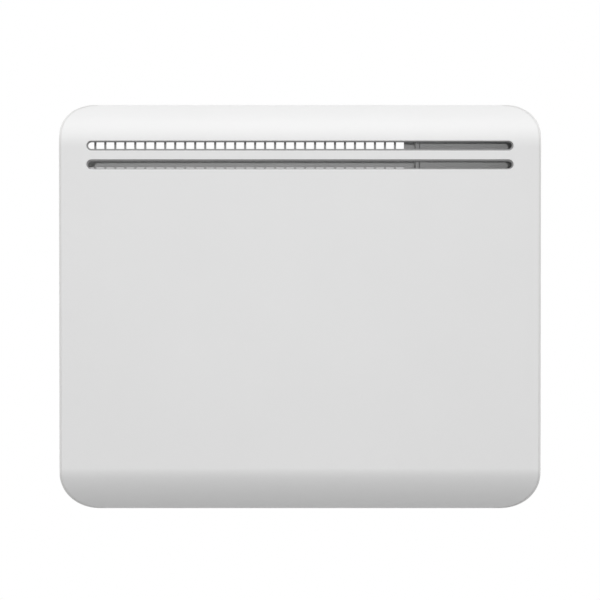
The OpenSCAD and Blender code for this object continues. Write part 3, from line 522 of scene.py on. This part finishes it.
def thick_sheet(name, points, normals, edges, is_open, thickness):
    """A sheet from a grid of points on its outer face, with open cells and rounded edges.

    The outermost points stand one edge radius inside the real edge, which the rounding then
    reaches.
    """
    rows, columns = len(points), len(points[0])
    cells = [((r, c), (r + 1, c), (r + 1, c + 1), (r, c + 1))
             for r in range(rows - 1) for c in range(columns - 1) if not is_open(r, c)]
    used = sorted({corner for cell in cells for corner in cell})
    number = {corner: i for i, corner in enumerate(used)}
    outer = [points[r][c] for r, c in used]
    facing = [normals[r][c] for r, c in used]
    radii = [edges[r][c] for r, c in used]
    count = len(used)
    places = outer + [p - n * thickness for p, n in zip(outer, facing)]
    directions = facing + [-n for n in facing]
    faces = [[number[k] for k in cell] for cell in cells]
    sides = {(face[i], face[(i + 1) % 4]) for face in faces for i in range(4)}
    faces += [[count + i for i in reversed(face)] for face in faces]
    border = sorted(side for side in sides if (side[1], side[0]) not in sides)
    outward = {}
    for a, b in border:
        out = (outer[b] - outer[a]).cross(facing[a]).normalized()
        outward.setdefault(a, []).append(out)
        outward.setdefault(b, []).append(out)
    chains = {}
    for i, outs in outward.items():
        mean = sum(outs, Vector()).normalized()
        reach = 1 / max(mean.dot(outs[0]), MITRE_LIMIT)
        chains[i] = [i]
        for out, depth, face_share, side_share in edge_steps(radii[i], thickness):
            chains[i].append(len(places))
            places.append(outer[i] + mean * out * reach - facing[i] * depth)
            directions.append((facing[i] * face_share + mean * side_share).normalized())
        chains[i].append(count + i)
    for a, b in border:
        for k in range(len(chains[a]) - 1):
            faces.append([chains[b][k], chains[a][k], chains[a][k + 1], chains[b][k + 1]])
    return from_faces(name, places, faces, directions)


def blend_heights(inset=0.0):
    """Heights of the soft crease's start, middle and end, on the profile drawn in by an inset."""
    return [BLEND_Z + (BLEND_R - inset) * math.sin(BLEND_TURN * k / 2) for k in range(3)]


def profile(z, inset=0.0):
    """Depth and outward normal of the case's side profile at a height, drawn in by an inset."""
    start, _, end = blend_heights(inset)
    if abs(z) <= start:
        return FRONT_Y + inset, Vector((0, -1, 0))
    if abs(z) < end:
        centre_y, centre_z, radius = BLEND_Y, BLEND_Z, BLEND_R
    else:
        centre_y, centre_z, radius = ROLL_Y, ROLL_Z, ROLL_R
    reach = radius - inset
    rise = min(abs(z) - centre_z, reach)
    depth = math.sqrt(reach ** 2 - rise ** 2)
    return centre_y - depth, Vector((0, -depth, math.copysign(rise, z))) / reach


def slot_turns(centre, radius, inset=0.0):
    """Angles of the rows that follow a slot's round ends, with rows where the soft crease crosses.

    An even row gives way to a crease row within a few degrees of it.
    """
    within, apart = 0.95 * radius, 5
    heights = [h - centre for h in blend_heights(inset)]
    at_blend = [math.degrees(math.asin(h / radius)) for h in heights if abs(h) < within]
    even = [t for t in SLOT_TURNS if all(abs(t - c) > apart for c in at_blend)]
    return [math.radians(t) for t in sorted(even + at_blend, reverse=True)]


# Front panel: rows run across the sheet, and columns from its top back edge to its bottom one

Row = namedtuple("Row", "y z normal edge share slot_turn strip_turn zone")
Column = namedtuple("Column", "top bottom slot_end inlet_end gland_turn")

# Plain rows: their distance from a corner or crease, and the steps between slots and bottom roll
ROW_GAP = 3 * MM
FACE_STEPS = 10

# Turns of a roll's first rows, in degrees from the flat strip behind it
STRIP_TURNS = (0, 4, 8, 12)

# Columns across the gland's hole, and the distance of the last column past its middle
GLAND_COLUMNS = 9
GLAND_CLEAR = 15 * MM

# Share of the way from the bezel to the sheet's edge that the slot-end columns keep in the corners
SLOT_END_SHARE = 0.35

# Shares of the way from the outer columns to the sheet's edge
MARGIN_SHARES = (1.0, 0.66, 0.33)


def sheet_edge(z):
    """Half the width of the front sheet at a height, to where its edge rounding starts."""
    corner = CORNER_TOP if z > 0 else CORNER_BOTTOM
    arc = corner - PANEL_INSET - JOINT_EDGE
    rise = abs(z) - (HALF_H - corner)
    if rise <= 0:
        return HALF_W - PANEL_INSET - JOINT_EDGE
    if rise > arc:
        return HALF_W - corner - SEAM - JOINT_EDGE
    return HALF_W - corner + math.sqrt(arc ** 2 - rise ** 2)


def face_row(z, share, slot_turn=None, zone=None):
    """A row on the rolls or the flat front."""
    y, normal = profile(z)
    return Row(y, z, normal, sheet_edge(z), share, slot_turn, None, zone)


def strip_row(y, side, strip_turn=None, zone=None):
    """A row on the flat strip behind the top roll (side 1) or the bottom roll (side -1)."""
    z = side * HALF_H
    share = 0.0 if side > 0 else 1.0
    return Row(y, z, Vector((0, 0, side)), sheet_edge(z), share, None, strip_turn, zone)


def corner_rows(side):
    """Rows round one pair of corners, from the flat strip to the straight sides."""
    corner = CORNER_TOP if side > 0 else CORNER_BOTTOM
    arc = corner - PANEL_INSET - JOINT_EDGE
    heights = [ROLL_Z + ROLL_R * math.cos(math.radians(t)) for t in STRIP_TURNS]
    heights += [HALF_H - corner + arc * math.sin(math.radians(t)) for t in CORNER_TURNS]
    return [face_row(side * h, 0.0 if side > 0 else 1.0) for h in heights]


def panel_rows():
    """Rows from the sheet's top back edge, over the front, to its bottom back edge."""
    rows = [strip_row(BACK_Y - SHEET_EDGE, 1),
            strip_row(BEZEL_HIGH.y + SHEET_EDGE, 1, zone="bezel"),
            strip_row(BEZEL_LOW.y - SHEET_EDGE, 1)]
    rows += corner_rows(1)
    rows.append(face_row(HALF_H - CORNER_TOP - ROW_GAP, 0.0))
    reach = SLOT_R + SHEET_EDGE
    for centre in SLOT_ZS:
        turns = slot_turns(centre, reach)
        rows += [face_row(centre + reach * math.sin(t), 0.0, t, "slot") for t in turns[:-1]]
        rows.append(face_row(centre - reach, 0.0, turns[-1]))
    between_slots = face_row(sum(SLOT_ZS) / 2, 0.0)
    rows.insert(-len(turns), between_slots)
    top, bottom = SLOT_ZS[1] - 3 * SLOT_R, ROW_GAP - BLEND_Z
    for k in range(FACE_STEPS + 1):
        rows.append(face_row(top + (bottom - top) * k / FACE_STEPS, k / FACE_STEPS))
    low_rows = [face_row(-h, 1.0) for h in blend_heights()] + corner_rows(-1)
    rows += sorted(low_rows, key=lambda row: -row.z)
    turns = [math.radians(t) for t in SLOT_TURNS]
    reach = INLET_R + SHEET_EDGE
    rows += [strip_row(INLET_Y - reach * math.sin(t), -1, t, "inlet") for t in turns[:-1]]
    rows += [strip_row(INLET_Y + reach, -1, turns[-1]), strip_row(BACK_Y - SHEET_EDGE, -1)]
    return rows


def panel_columns():
    """Columns that pass the slot ends and bezel at the top, and the inlets and gland below."""
    columns = []
    for x in INLET_XS:
        for end in (-1, 1):
            at = x + end * INLET_STRAIGHT
            columns.append(Column(at, at, 0, end, None))
    columns[0] = columns[0]._replace(top=-SLOT_STRAIGHT, slot_end=-1)
    columns[-1] = columns[-1]._replace(top=BEZEL_LOW.x - SHEET_EDGE)
    left, right = columns[-1].top, BEZEL_HIGH.x + SHEET_EDGE
    middle = (GLAND_COLUMNS + 1) / 2
    for k in range(1, GLAND_COLUMNS + 1):
        turn = math.radians(90 / (GLAND_COLUMNS - 1) * (k - middle))
        x = GLAND_X + (GLAND_HOLE + SHEET_EDGE) * math.sin(turn)
        columns.append(Column(left + (right - left) * k / GLAND_COLUMNS, x, 0, 0, turn))
    columns.append(Column(SLOT_STRAIGHT, GLAND_X + GLAND_CLEAR, 1, 0, None))
    return columns


def panel_point(row, column):
    """Place where a row and a column of the panel cross."""
    top = column.top
    if column.slot_end:
        right = BEZEL_HIGH.x + SHEET_EDGE
        top = column.slot_end * min(SLOT_STRAIGHT, right + SLOT_END_SHARE * (row.edge - right))
    x, y = top + (column.bottom - top) * row.share, row.y
    if row.slot_turn is not None:
        x += column.slot_end * (SLOT_R + SHEET_EDGE) * math.cos(row.slot_turn)
    if row.strip_turn is not None:
        x += column.inlet_end * (INLET_R + SHEET_EDGE) * math.cos(row.strip_turn)
        if column.gland_turn is not None:
            reach = GLAND_HOLE + SHEET_EDGE
            first_or_last = abs(row.strip_turn) > math.radians(89)
            if first_or_last:
                y = INLET_Y - math.copysign(reach * math.cos(column.gland_turn), row.strip_turn)
            else:
                x = GLAND_X + math.copysign(reach * math.cos(row.strip_turn / 2), column.gland_turn)
                y = INLET_Y - reach * math.sin(row.strip_turn / 2)
    return Vector((x, y, row.z))


def front_panel():
    """White front sheet with rolled top and bottom, its openings and its back flanges."""
    rows, columns = panel_rows(), panel_columns()
    margin, last = len(MARGIN_SHARES), len(columns) - 1
    points = []
    for row in rows:
        line = [panel_point(row, column) for column in columns]
        ends = [Vector((side * row.edge, row.y, row.z)) for side in (-1, 1)]
        points.append([line[0].lerp(ends[0], t) for t in MARGIN_SHARES] + line
                      + [line[-1].lerp(ends[1], t) for t in reversed(MARGIN_SHARES)])
    width = len(points[0])
    normals = [[row.normal] * width for row in rows]
    edges = [[JOINT_EDGE] + [SHEET_EDGE] * (width - 2) + [JOINT_EDGE]] * len(rows)
    inlets = [(2 * i, 2 * i + 1) for i in range(len(INLET_XS))]
    bezel = (2 * len(INLET_XS) - 1, last - 1)
    gland = (bezel[0] + 1, bezel[1])
    open_columns = {"slot": [(0, last)], "bezel": [bezel], "inlet": inlets + [gland]}

    def is_open(r, c):
        return any(a <= c - margin < b for a, b in open_columns.get(rows[r].zone, []))

    sheet = thick_sheet("front_panel_sheet", points, normals, edges, is_open, SHEET_T)
    stand_for(sheet, POWDER_COAT, "front_panel")
    bm = bmesh.new()
    half = HALF_W - CORNER_BOTTOM - FLANGE_GAP
    for side in (-1, 1):
        ends = sorted(side * (HALF_H - d) for d in (SHEET_T + FLANGE_H, SHEET_T / 2))
        slab(bm, (-half, COVER_Y - SHEET_T, ends[0]), (half, COVER_Y, ends[1]), FLANGE_EDGE)
    add_to(from_bmesh("front_panel_flanges", bm), POWDER_COAT, "front_panel")


def outlet_liner():
    """Grey strip behind the panel, whose smaller slots show as a rim inside the panel's slots; part
    of that rim's darkness is painted shade in the strip's grey.
    """
    low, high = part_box("outlet_liner")
    reach = SLOT_R - LINER_LIP + LINER_EDGE
    heights = [(high.z - LINER_EDGE, None, None)]
    for centre in LINER_ZS:
        turns = slot_turns(centre, reach, SHEET_T)
        heights += [(centre + reach * math.sin(t), t, "slot") for t in turns[:-1]]
        heights.append((centre - reach, turns[-1], None))
    heights.append((low.z + LINER_EDGE, None, None))
    stations = (-1, -0.5, 0.0, 0.5, 1)
    points, normals = [], []
    for z, turn, _ in heights:
        y, normal = profile(z, SHEET_T)
        bulge = reach * math.cos(turn) if turn is not None else 0.0
        xs = [s * SLOT_STRAIGHT + s * bulge * (abs(s) == 1) for s in stations]
        xs = [low.x + LINER_EDGE] + xs + [high.x - LINER_EDGE]
        points.append([Vector((x, y, z)) for x in xs])
        normals.append([normal] * len(xs))
    edges = [[LINER_EDGE] * len(points[0])] * len(points)

    def is_open(r, c):
        return heights[r][2] == "slot" and 0 < c < len(stations)

    liner = thick_sheet("outlet_liner_strip", points, normals, edges, is_open, LINER_T)
    stand_for(liner, GREY_PP_WITH_PAINTED_SHADE, "outlet_liner")


# End caps

def cap_path():
    """Points and outward directions along the right cap's outline, from its top end down."""
    path = []
    for corner, side in ((CORNER_TOP, 1), (CORNER_BOTTOM, -1)):
        centre = Vector((HALF_W - corner, 0, side * (HALF_H - corner)))
        stretch = []
        for t in CORNER_TURNS:
            turn = math.radians(t)
            out = Vector((math.cos(turn), 0, side * math.sin(turn)))
            stretch.append((centre + out * corner, out))
        path += stretch if side > 0 else list(reversed(stretch))
        if side > 0:
            heights = list(reversed(blend_heights())) + [100 * MM, 50 * MM]
            heights += [0] + [-h for h in reversed(heights) if h < HALF_H - CORNER_BOTTOM]
            path += [(Vector((HALF_W, 0, h)), Vector((1, 0, 0))) for h in heights]
    return path


def cap_section(point, out):
    """Cross-section of the cap at one point of its outline: outer wall, rim, ledge, inner wall."""
    def at_front(offset, inset, depth=0.0):
        place = point - out * offset
        y, _ = profile(place.z, inset)
        return Vector((place.x, min(y + depth, BACK_Y - MM), place.z))

    def at_back(offset, y):
        place = point - out * offset
        return Vector((place.x, y, place.z))

    rim = PANEL_INSET - JOINT
    ledge_top, ledge_under = SHEET_T + SEAM, SHEET_T + SEAM + LEDGE_T
    reach = CAP_T + LEDGE_W
    section = [at_back(CAP_EASE, BACK_Y), at_back(0, BACK_Y - CAP_EASE)]
    for turn in reversed(quarter_turn()):
        section.append(at_front(CAP_RIM_R * (1 - math.sin(turn)), 0,
                                CAP_RIM_R * (1 - math.cos(turn))))
    section += [at_front(rim - JOINT_EDGE, 0), at_front(rim, 0, JOINT_EDGE)]
    section += [at_front(rim, ledge_top), at_front(reach, ledge_top)]
    section += [at_front(reach, ledge_under), at_front(CAP_T, ledge_under)]
    return section + [at_back(CAP_T, BACK_Y - CAP_EASE), at_back(CAP_T - CAP_EASE, BACK_Y)]


def boss(bm, x, z):
    """A screw boss on a web that ties it to the cap's wall."""
    half_web, web_edge = BOSS_R / 2, 0.2 * MM
    section = ((0, 0), (BOSS_R, 0), (BOSS_R, BOSS_H),
               (PILOT_R, BOSS_H), (PILOT_R, BOSS_FLOOR), (0, BOSS_FLOOR))
    lathe(bm, section, Matrix.Translation((x, COVER_Y - BOSS_H, z)) @ TO_WALL, SMALL_LATHE_STEPS)
    left, right = sorted((x, math.copysign(HALF_W - CAP_T / 2, x)))
    slab(bm, (left, COVER_Y - BOSS_H + BOSS_FLOOR, z - half_web), (right, COVER_Y, z + half_web),
         web_edge)


def end_cap(side, node):
    """White rim round one end of the case, rounded at the front, with a ledge behind the sheet."""
    bm = bmesh.new()
    rings = []
    for point, out in cap_path():
        section = [Vector((side * p.x, p.y, p.z)) for p in cap_section(point, out)]
        rings.append([bm.verts.new(p) for p in section])
    count = len(rings[0])
    for a, b in zip(rings, rings[1:]):
        for k in range(count):
            bm.faces.new((a[k], a[(k + 1) % count], b[(k + 1) % count], b[k]))
    bm.faces.new(rings[0])
    bm.faces.new(rings[-1])
    for z in BOSS_ZS:
        boss(bm, side * (HALF_W - BOSS_INSET), z)
    bmesh.ops.recalc_face_normals(bm, faces=bm.faces)
    stand_for(from_bmesh(node + "_moulding", bm), WHITE_ABS, node)


# Plain pieces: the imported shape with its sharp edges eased

# Radius of each piece's eased edges, in millimetres
EASED_MM = {
    "back_cover": 0.3, "wall_bracket": 0.35, "spring_clip_left": 0.2, "spring_clip_right": 0.2,
    "clip_rivets": 0.4, "cover_screws": 0.25, "housing_screws": 0.25, "element_screws": 0.25,
    "hinge_bracket_left": 0.3, "hinge_bracket_right": 0.3,
    "hinge_pin_left": 0.3, "hinge_pin_right": 0.3,
    "hinge_rivets": 0.35, "clip_stud_left": 0.3, "clip_stud_right": 0.3, "earth_stud": 0.15,
    "element_body": 0.3, "heating_rod": 0.4, "rod_terminals": 0.1, "rod_insulators": 0.4,
    "element_bracket_left": 0.2, "element_bracket_right": 0.2, "heat_shield": 0.1,
    "thermal_cutout": 0.15, "sensor_clip": 0.25, "temperature_sensor": 0.5,
    "control_housing": 0.3, "control_lid": 0.3, "lid_screws": 0.2, "control_board": 0.1,
    "control_bezel": 0.2, "cord_gland": 0.3, "switch_body": 0.15, "power_rocker": 0.2,
    "display_window": 0.15, "display_module": 0.1, "button_board": 0.1, "button_switches": 0.15,
    "display_ribbon": 0.08,
}

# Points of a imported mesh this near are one, and faces this near in angle are one flat face
WELD = 0.002 * MM
FLAT = math.radians(0.5)

# Packed edges that turn more than this are sharp
SHARP = math.radians(40)


def packed_mesh(node):
    """A node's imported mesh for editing, with its flat faces whole again."""
    bm = bmesh.new()
    bm.from_mesh(frame["nodes"][node].data)
    bmesh.ops.remove_doubles(bm, verts=bm.verts, dist=WELD)
    bmesh.ops.dissolve_limit(bm, angle_limit=FLAT, verts=bm.verts, edges=bm.edges)
    return bm


def eased(node, radius_mm):
    """A piece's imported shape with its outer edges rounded, as deburring or moulding leaves them."""
    bm = packed_mesh(node)
    edges = [e for e in bm.edges
             if len(e.link_faces) == 2 and e.is_convex and e.calc_face_angle() > SHARP]
    bmesh.ops.bevel(bm, geom=edges, offset=radius_mm * MM, segments=2, profile=0.5, affect="EDGES",
                    clamp_overlap=False, loop_slide=False)
    piece = from_bmesh(node + "_piece", bm)
    packed_normals = piece.data.attributes.get("custom_normal")
    if packed_normals:
        piece.data.attributes.remove(packed_normals)
    stand_for(piece, SLOT_FINISH[SLOT_OF[node]], node)


# Controls in the top

def push_button(node, symbol):
    """A push button with a dished cap and a printed symbol."""
    low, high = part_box(node)
    x, y, _ = (low + high) / 2
    cap, collar, stem = 3.15 * MM, 4.2 * MM, 1.8 * MM
    collar_low, collar_high = low.z + 1.7 * MM, low.z + 2.9 * MM
    edge, dish, dish_shares = 0.5 * MM, 0.06 * MM, (0.7, 0.5, 0.3)
    section = [(0, low.z), (stem, low.z), (stem, collar_low), (collar, collar_low),
               (collar, collar_high), (cap, collar_high), (cap, high.z - edge)]
    for turn in quarter_turn(1):
        section.append((cap - edge * (1 - math.cos(turn)), high.z - edge * (1 - math.sin(turn))))
    section += [(cap * share, high.z - dish * (1 - share ** 2)) for share in dish_shares]
    section.append((0, high.z - dish))
    bm = bmesh.new()
    lathe(bm, section, Matrix.Translation((x, y, 0)))
    stand_for(from_bmesh(node + "_cap", bm), BUTTON_ABS, node)
    face = Matrix.Translation((x, y, high.z - dish / 2))
    add_to(marks(node + "_symbol", symbol, face), GREY_INK, node)


def push_buttons():
    """Three buttons marked minus, plus and a ring for the mode."""
    half, arm = 0.22 * MM, 1.25 * MM
    across = bar((-arm, 0), (arm, 0), half)
    upright = [bar((0, s * half), (0, s * arm), half) for s in (-1, 1)]
    push_button("button_minus", [across])
    push_button("button_plus", [across] + upright)
    push_button("button_mode", ring(MARK_RING_R, half))


def display_digits():
    """Two unlit seven-bar digits and a degree ring under the window."""
    low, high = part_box("display_module")
    middle = (low + high) / 2
    width, half_height, stroke, gap = 2 * MM, 1.8 * MM, 0.24 * MM, 0.06 * MM
    digit_lefts = (-3.6 * MM, -0.6 * MM)
    degree_r, degree_stroke = 0.5 * MM, 0.15 * MM
    degree_at = (2.8 * MM, half_height - 0.4 * MM)
    lines = [((0, s), (1, s)) for s in (-1, 0, 1)]
    lines += [((x, s), (x, s + 1)) for x in (0, 1) for s in (-1, 0)]
    outlines = []
    for left in digit_lefts:
        for ends in lines:
            start, end = (Vector((left + x * width, s * half_height)) for x, s in ends)
            drawn_in = (end - start).normalized() * gap
            outlines.append(bar(start + drawn_in, end - drawn_in, stroke, stroke))
    outlines += ring(degree_r, degree_stroke, degree_at)
    face = Matrix.Translation((middle.x, middle.y, high.z))
    add_to(marks("display_digits", outlines, face), DIGIT_EPOXY, "display_module")


def rocker_marks():
    """A bar for on and a ring for off, on the two faces of the rocker."""
    out, half, arm = 2.9 * MM, 0.25 * MM, 1.2 * MM
    rocker = Matrix.Translation(ROCKER_AT) @ Matrix.Rotation(ROCKER_TILT, 4, "Y")
    for name, side, outlines in (("rocker_on_mark", -1, [bar((0, -arm), (0, arm), half)]),
                                 ("rocker_off_mark", 1, ring(MARK_RING_R, half))):
        rise = ROCKER_VALLEY + out * math.tan(ROCKER_TILT)
        face = Matrix.Translation((side * out, 0, rise))
        place = rocker @ face @ Matrix.Rotation(-side * ROCKER_TILT, 4, "Y")
        add_to(marks(name, outlines, place), WHITE_INK, "power_rocker")


# Inside: parts on the board, and the leads

LEADS = ("lead_live", "lead_limited", "lead_neutral", "lead_earth", "lead_sensor")


def relay():
    """Relay case, a little narrower than its base."""
    low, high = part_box("relay")
    base, base_edge = 1.6 * MM, 0.3 * MM
    narrower, shorter, case_edge = 0.4 * MM, 0.8 * MM, 0.7 * MM
    bm = bmesh.new()
    slab(bm, (low.x, high.y - base, low.z), high, base_edge)
    slab(bm, low + Vector((narrower, 0, narrower)), high - Vector((narrower, shorter, narrower)),
         case_edge)
    stand_for(from_bmesh("relay_case", bm), RELAY_PBT, "relay")


def transformer():
    """Taped winding between the legs of a ferrite core, on a low base."""
    low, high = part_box("transformer")
    bare_end, behind, tape_edge = 3.2 * MM, 1.5 * MM, 2 * MM
    bm = bmesh.new()
    slab(bm, low + Vector((bare_end, 0, 0)), high - Vector((bare_end, behind, 0)), tape_edge)
    stand_for(from_bmesh("transformer_winding", bm), YELLOW_TAPE, "transformer")

    leg, leg_sunk, leg_short, leg_edge = 5 * MM, 1.5 * MM, 3 * MM, 0.5 * MM
    base, base_inset, base_edge = 1.8 * MM, 1 * MM, 0.3 * MM
    bm = bmesh.new()
    for x in (low.x, high.x - leg):
        slab(bm, (x, low.y + leg_sunk, low.z + leg_short),
             (x + leg, high.y - base_inset, high.z - leg_short), leg_edge)
    slab(bm, (low.x + base_inset, high.y - base, low.z + base_inset),
         high - Vector((base_inset, 0, base_inset)), base_edge)
    add_to(from_bmesh("transformer_core", bm), FERRITE, "transformer")


def capacitor():
    """Sleeved can with a crimped bead at its seal and a sleeve edge round its bare end."""
    low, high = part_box("capacitor")
    middle = (low + high) / 2
    radius, length = (high.x - low.x) / 2, high.y - low.y
    # Steps in millimetres: how far inside the can's radius, and how far from that end
    seal_end = ((0.5, 0), (0, 0.6), (0, 1.6), (0.5, 2), (0, 2.4))
    bare_end = ((0, 0.9), (0.3, 0.25), (0.9, 0), (1.2, 0.25))
    bare_depth = bare_end[-1][1] * MM
    section = [(0, 0)]
    section += [(radius - inside * MM, along * MM) for inside, along in seal_end]
    section += [(radius - inside * MM, length - along * MM) for inside, along in bare_end]
    section.append((0, length - bare_depth))
    bm = bmesh.new()
    lathe(bm, section, Matrix.Translation((middle.x, high.y, middle.z)) @ TO_FRONT)
    stand_for(from_bmesh("capacitor_can", bm), BLACK_PVC, "capacitor")


def terminal_block():
    """Terminal block of four ways, with a brass screw in the front of each."""
    low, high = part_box("terminal_block")
    ways, way_edge = 4, 0.5 * MM
    head_r, head_sunk, head_top, head_edge = 2.2 * MM, 0.3 * MM, 0.4 * MM, 0.15 * MM
    flat_r = 2 * MM
    head = [(head_r, -head_sunk), (head_r, head_top - head_edge), (flat_r, head_top), (0, head_top)]
    pitch = (high.x - low.x) / ways
    bm = bmesh.new()
    screws = bmesh.new()
    for k in range(ways):
        left = low.x + k * pitch
        slab(bm, (left, low.y, low.z), (left + pitch, high.y, high.z), way_edge)
        middle = Matrix.Translation((left + pitch / 2, low.y, (low.z + high.z) / 2))
        lathe(screws, head, middle @ TO_FRONT, SMALL_LATHE_STEPS)
    stand_for(from_bmesh("terminal_block_ways", bm), BLOCK_NYLON, "terminal_block")
    add_to(from_bmesh("terminal_block_screws", screws), BRASS, "terminal_block")


def lead(node):
    """A lead's packed tube, rounded by subdivision between its flat cut ends."""
    bm = packed_mesh(node)
    crease = bm.edges.layers.float.new("crease_edge")
    for face in bm.faces:
        is_cut_end = len(face.verts) > 4
        if is_cut_end:
            for edge in face.edges:
                edge[crease] = 1.0
    bmesh.ops.join_triangles(bm, faces=bm.faces, angle_face_threshold=math.radians(40),
                             angle_shape_threshold=math.radians(60))
    piece = from_bmesh(node + "_insulation", bm, sharp=80)
    rounding = piece.modifiers.new("round", "SUBSURF")
    rounding.levels = rounding.render_levels = 2
    stand_for(piece, SLOT_FINISH[SLOT_OF[node]], node)


# Stage, lights and camera

WHITE = (1, 1, 1, 1)

# Even surround: the strength of its light on the part, which itself shows as white
AMBIENT = 0.552

# Floor: a grey that takes the shadow, and the glow that makes it pale as a background
FLOOR_Z = -0.75
FLOOR_HALF = 2
FLOOR_TONE = "#a8a8a8"
FLOOR_ROUGHNESS = 0.8
FLOOR_GLOW = 0.42

# Large lamps above and at both sides, in watts
KEY_AT = Vector((0, -1.17, 2.22))
KEY_SIZE = 1.6
KEY_POWER = 27.5
FLANK_AT = [Vector((-2.1, -0.02, 0.2)), Vector((1.6, 0.9, 0.2))]
FLANK_SIZE = 0.8
FLANK_POWER = 10

# Small lamp far ahead: its power follows from its level at the part
FILL_AT = Vector((0, -5.6, -0.13))
FILL_SIZE = 0.03
FILL_LEVEL = 0.525

# Camera straight in front, a little above the middle of the case
CAMERA_AT = Vector((0, -1.484, 0.0237))
CAMERA_AIM = Vector((0, FRONT_Y, 0.0068))
FOCAL_MM = 94.35
SENSOR_MM = 36


def background_rays(tree):
    """A socket that is 1 for rays that show the background: those of camera, gloss and glass."""
    kinds = add(tree, "ShaderNodeLightPath").outputs
    seen = kinds["Is Camera Ray"]
    for kind in ("Is Glossy Ray", "Is Transmission Ray"):
        larger = add(tree, "ShaderNodeMath", {0: seen, 1: kinds[kind]}, operation="MAXIMUM")
        seen = larger.outputs[0]
    return seen


def surround():
    """White world that lights the part evenly."""
    world = bpy.data.worlds.new("studio")
    bpy.context.scene.world = world
    world.use_nodes = True
    tree = world.node_tree
    strength = add(tree, "ShaderNodeMapRange",
                   {"Value": background_rays(tree), "To Min": AMBIENT, "To Max": 1.0})
    sky = tree.nodes["Background"]
    sky.inputs["Color"].default_value = WHITE
    tree.links.new(strength.outputs["Result"], sky.inputs["Strength"])


def floor():
    """Plain pale floor, which keeps the part's shadow."""
    corners = [(x * FLOOR_HALF, y * FLOOR_HALF, FLOOR_Z)
               for x, y in ((-1, -1), (1, -1), (1, 1), (-1, 1))]
    sheet = from_faces("floor", corners, [(0, 1, 2, 3)])
    pale = bpy.data.materials.new("pale_floor")
    pale.use_nodes = True
    tree = pale.node_tree
    shader = tree.nodes["Principled BSDF"]
    shader.inputs["Base Color"].default_value = rgb(FLOOR_TONE)
    shader.inputs["Roughness"].default_value = FLOOR_ROUGHNESS
    shader.inputs["Emission Color"].default_value = WHITE
    glow = add(tree, "ShaderNodeMath", {0: background_rays(tree), 1: FLOOR_GLOW},
               operation="MULTIPLY")
    tree.links.new(glow.outputs[0], shader.inputs["Emission Strength"])
    sheet.data.materials.append(pale)


def lamps():
    """Soft lamps, all aimed at the front of the case."""
    key = bpy.data.lights.new("overhead_softbox", "AREA")
    key.size, key.energy = KEY_SIZE, KEY_POWER
    flank = bpy.data.lights.new("side_softbox", "AREA")
    flank.size, flank.energy = FLANK_SIZE, FLANK_POWER
    fill = bpy.data.lights.new("far_lamp", "POINT")
    fill.shadow_soft_size = FILL_SIZE
    fill.energy = FILL_LEVEL * 4 * math.pi * FILL_AT.length_squared
    aim = Vector((0, FRONT_Y, 0))
    for lamp, place in [(key, KEY_AT), (fill, FILL_AT)] + [(flank, at) for at in FLANK_AT]:
        stand = bpy.data.objects.new(lamp.name, lamp)
        stand.location = place
        stand.rotation_euler = (aim - place).to_track_quat("-Z", "Y").to_euler()
        stand.visible_camera = False
        bpy.context.scene.collection.objects.link(stand)


def camera():
    """The scene's camera and its lens."""
    lens = bpy.data.cameras.new("camera")
    lens.lens, lens.sensor_width = FOCAL_MM, SENSOR_MM
    stand = bpy.data.objects.new("camera", lens)
    stand.location = CAMERA_AT
    stand.rotation_euler = (CAMERA_AIM - CAMERA_AT).to_track_quat("-Z", "Y").to_euler()
    bpy.context.scene.collection.objects.link(stand)
    bpy.context.scene.camera = stand


bpy.context.scene.view_settings.view_transform = "Standard"
surround()
floor()
lamps()
camera()
front_panel()
outlet_liner()
end_cap(-1, "end_cap_left")
end_cap(1, "end_cap_right")
for node, radius_mm in EASED_MM.items():
    eased(node, radius_mm)
push_buttons()
display_digits()
rocker_marks()
relay()
transformer()
capacitor()
terminal_block()
for node in LEADS:
    lead(node)
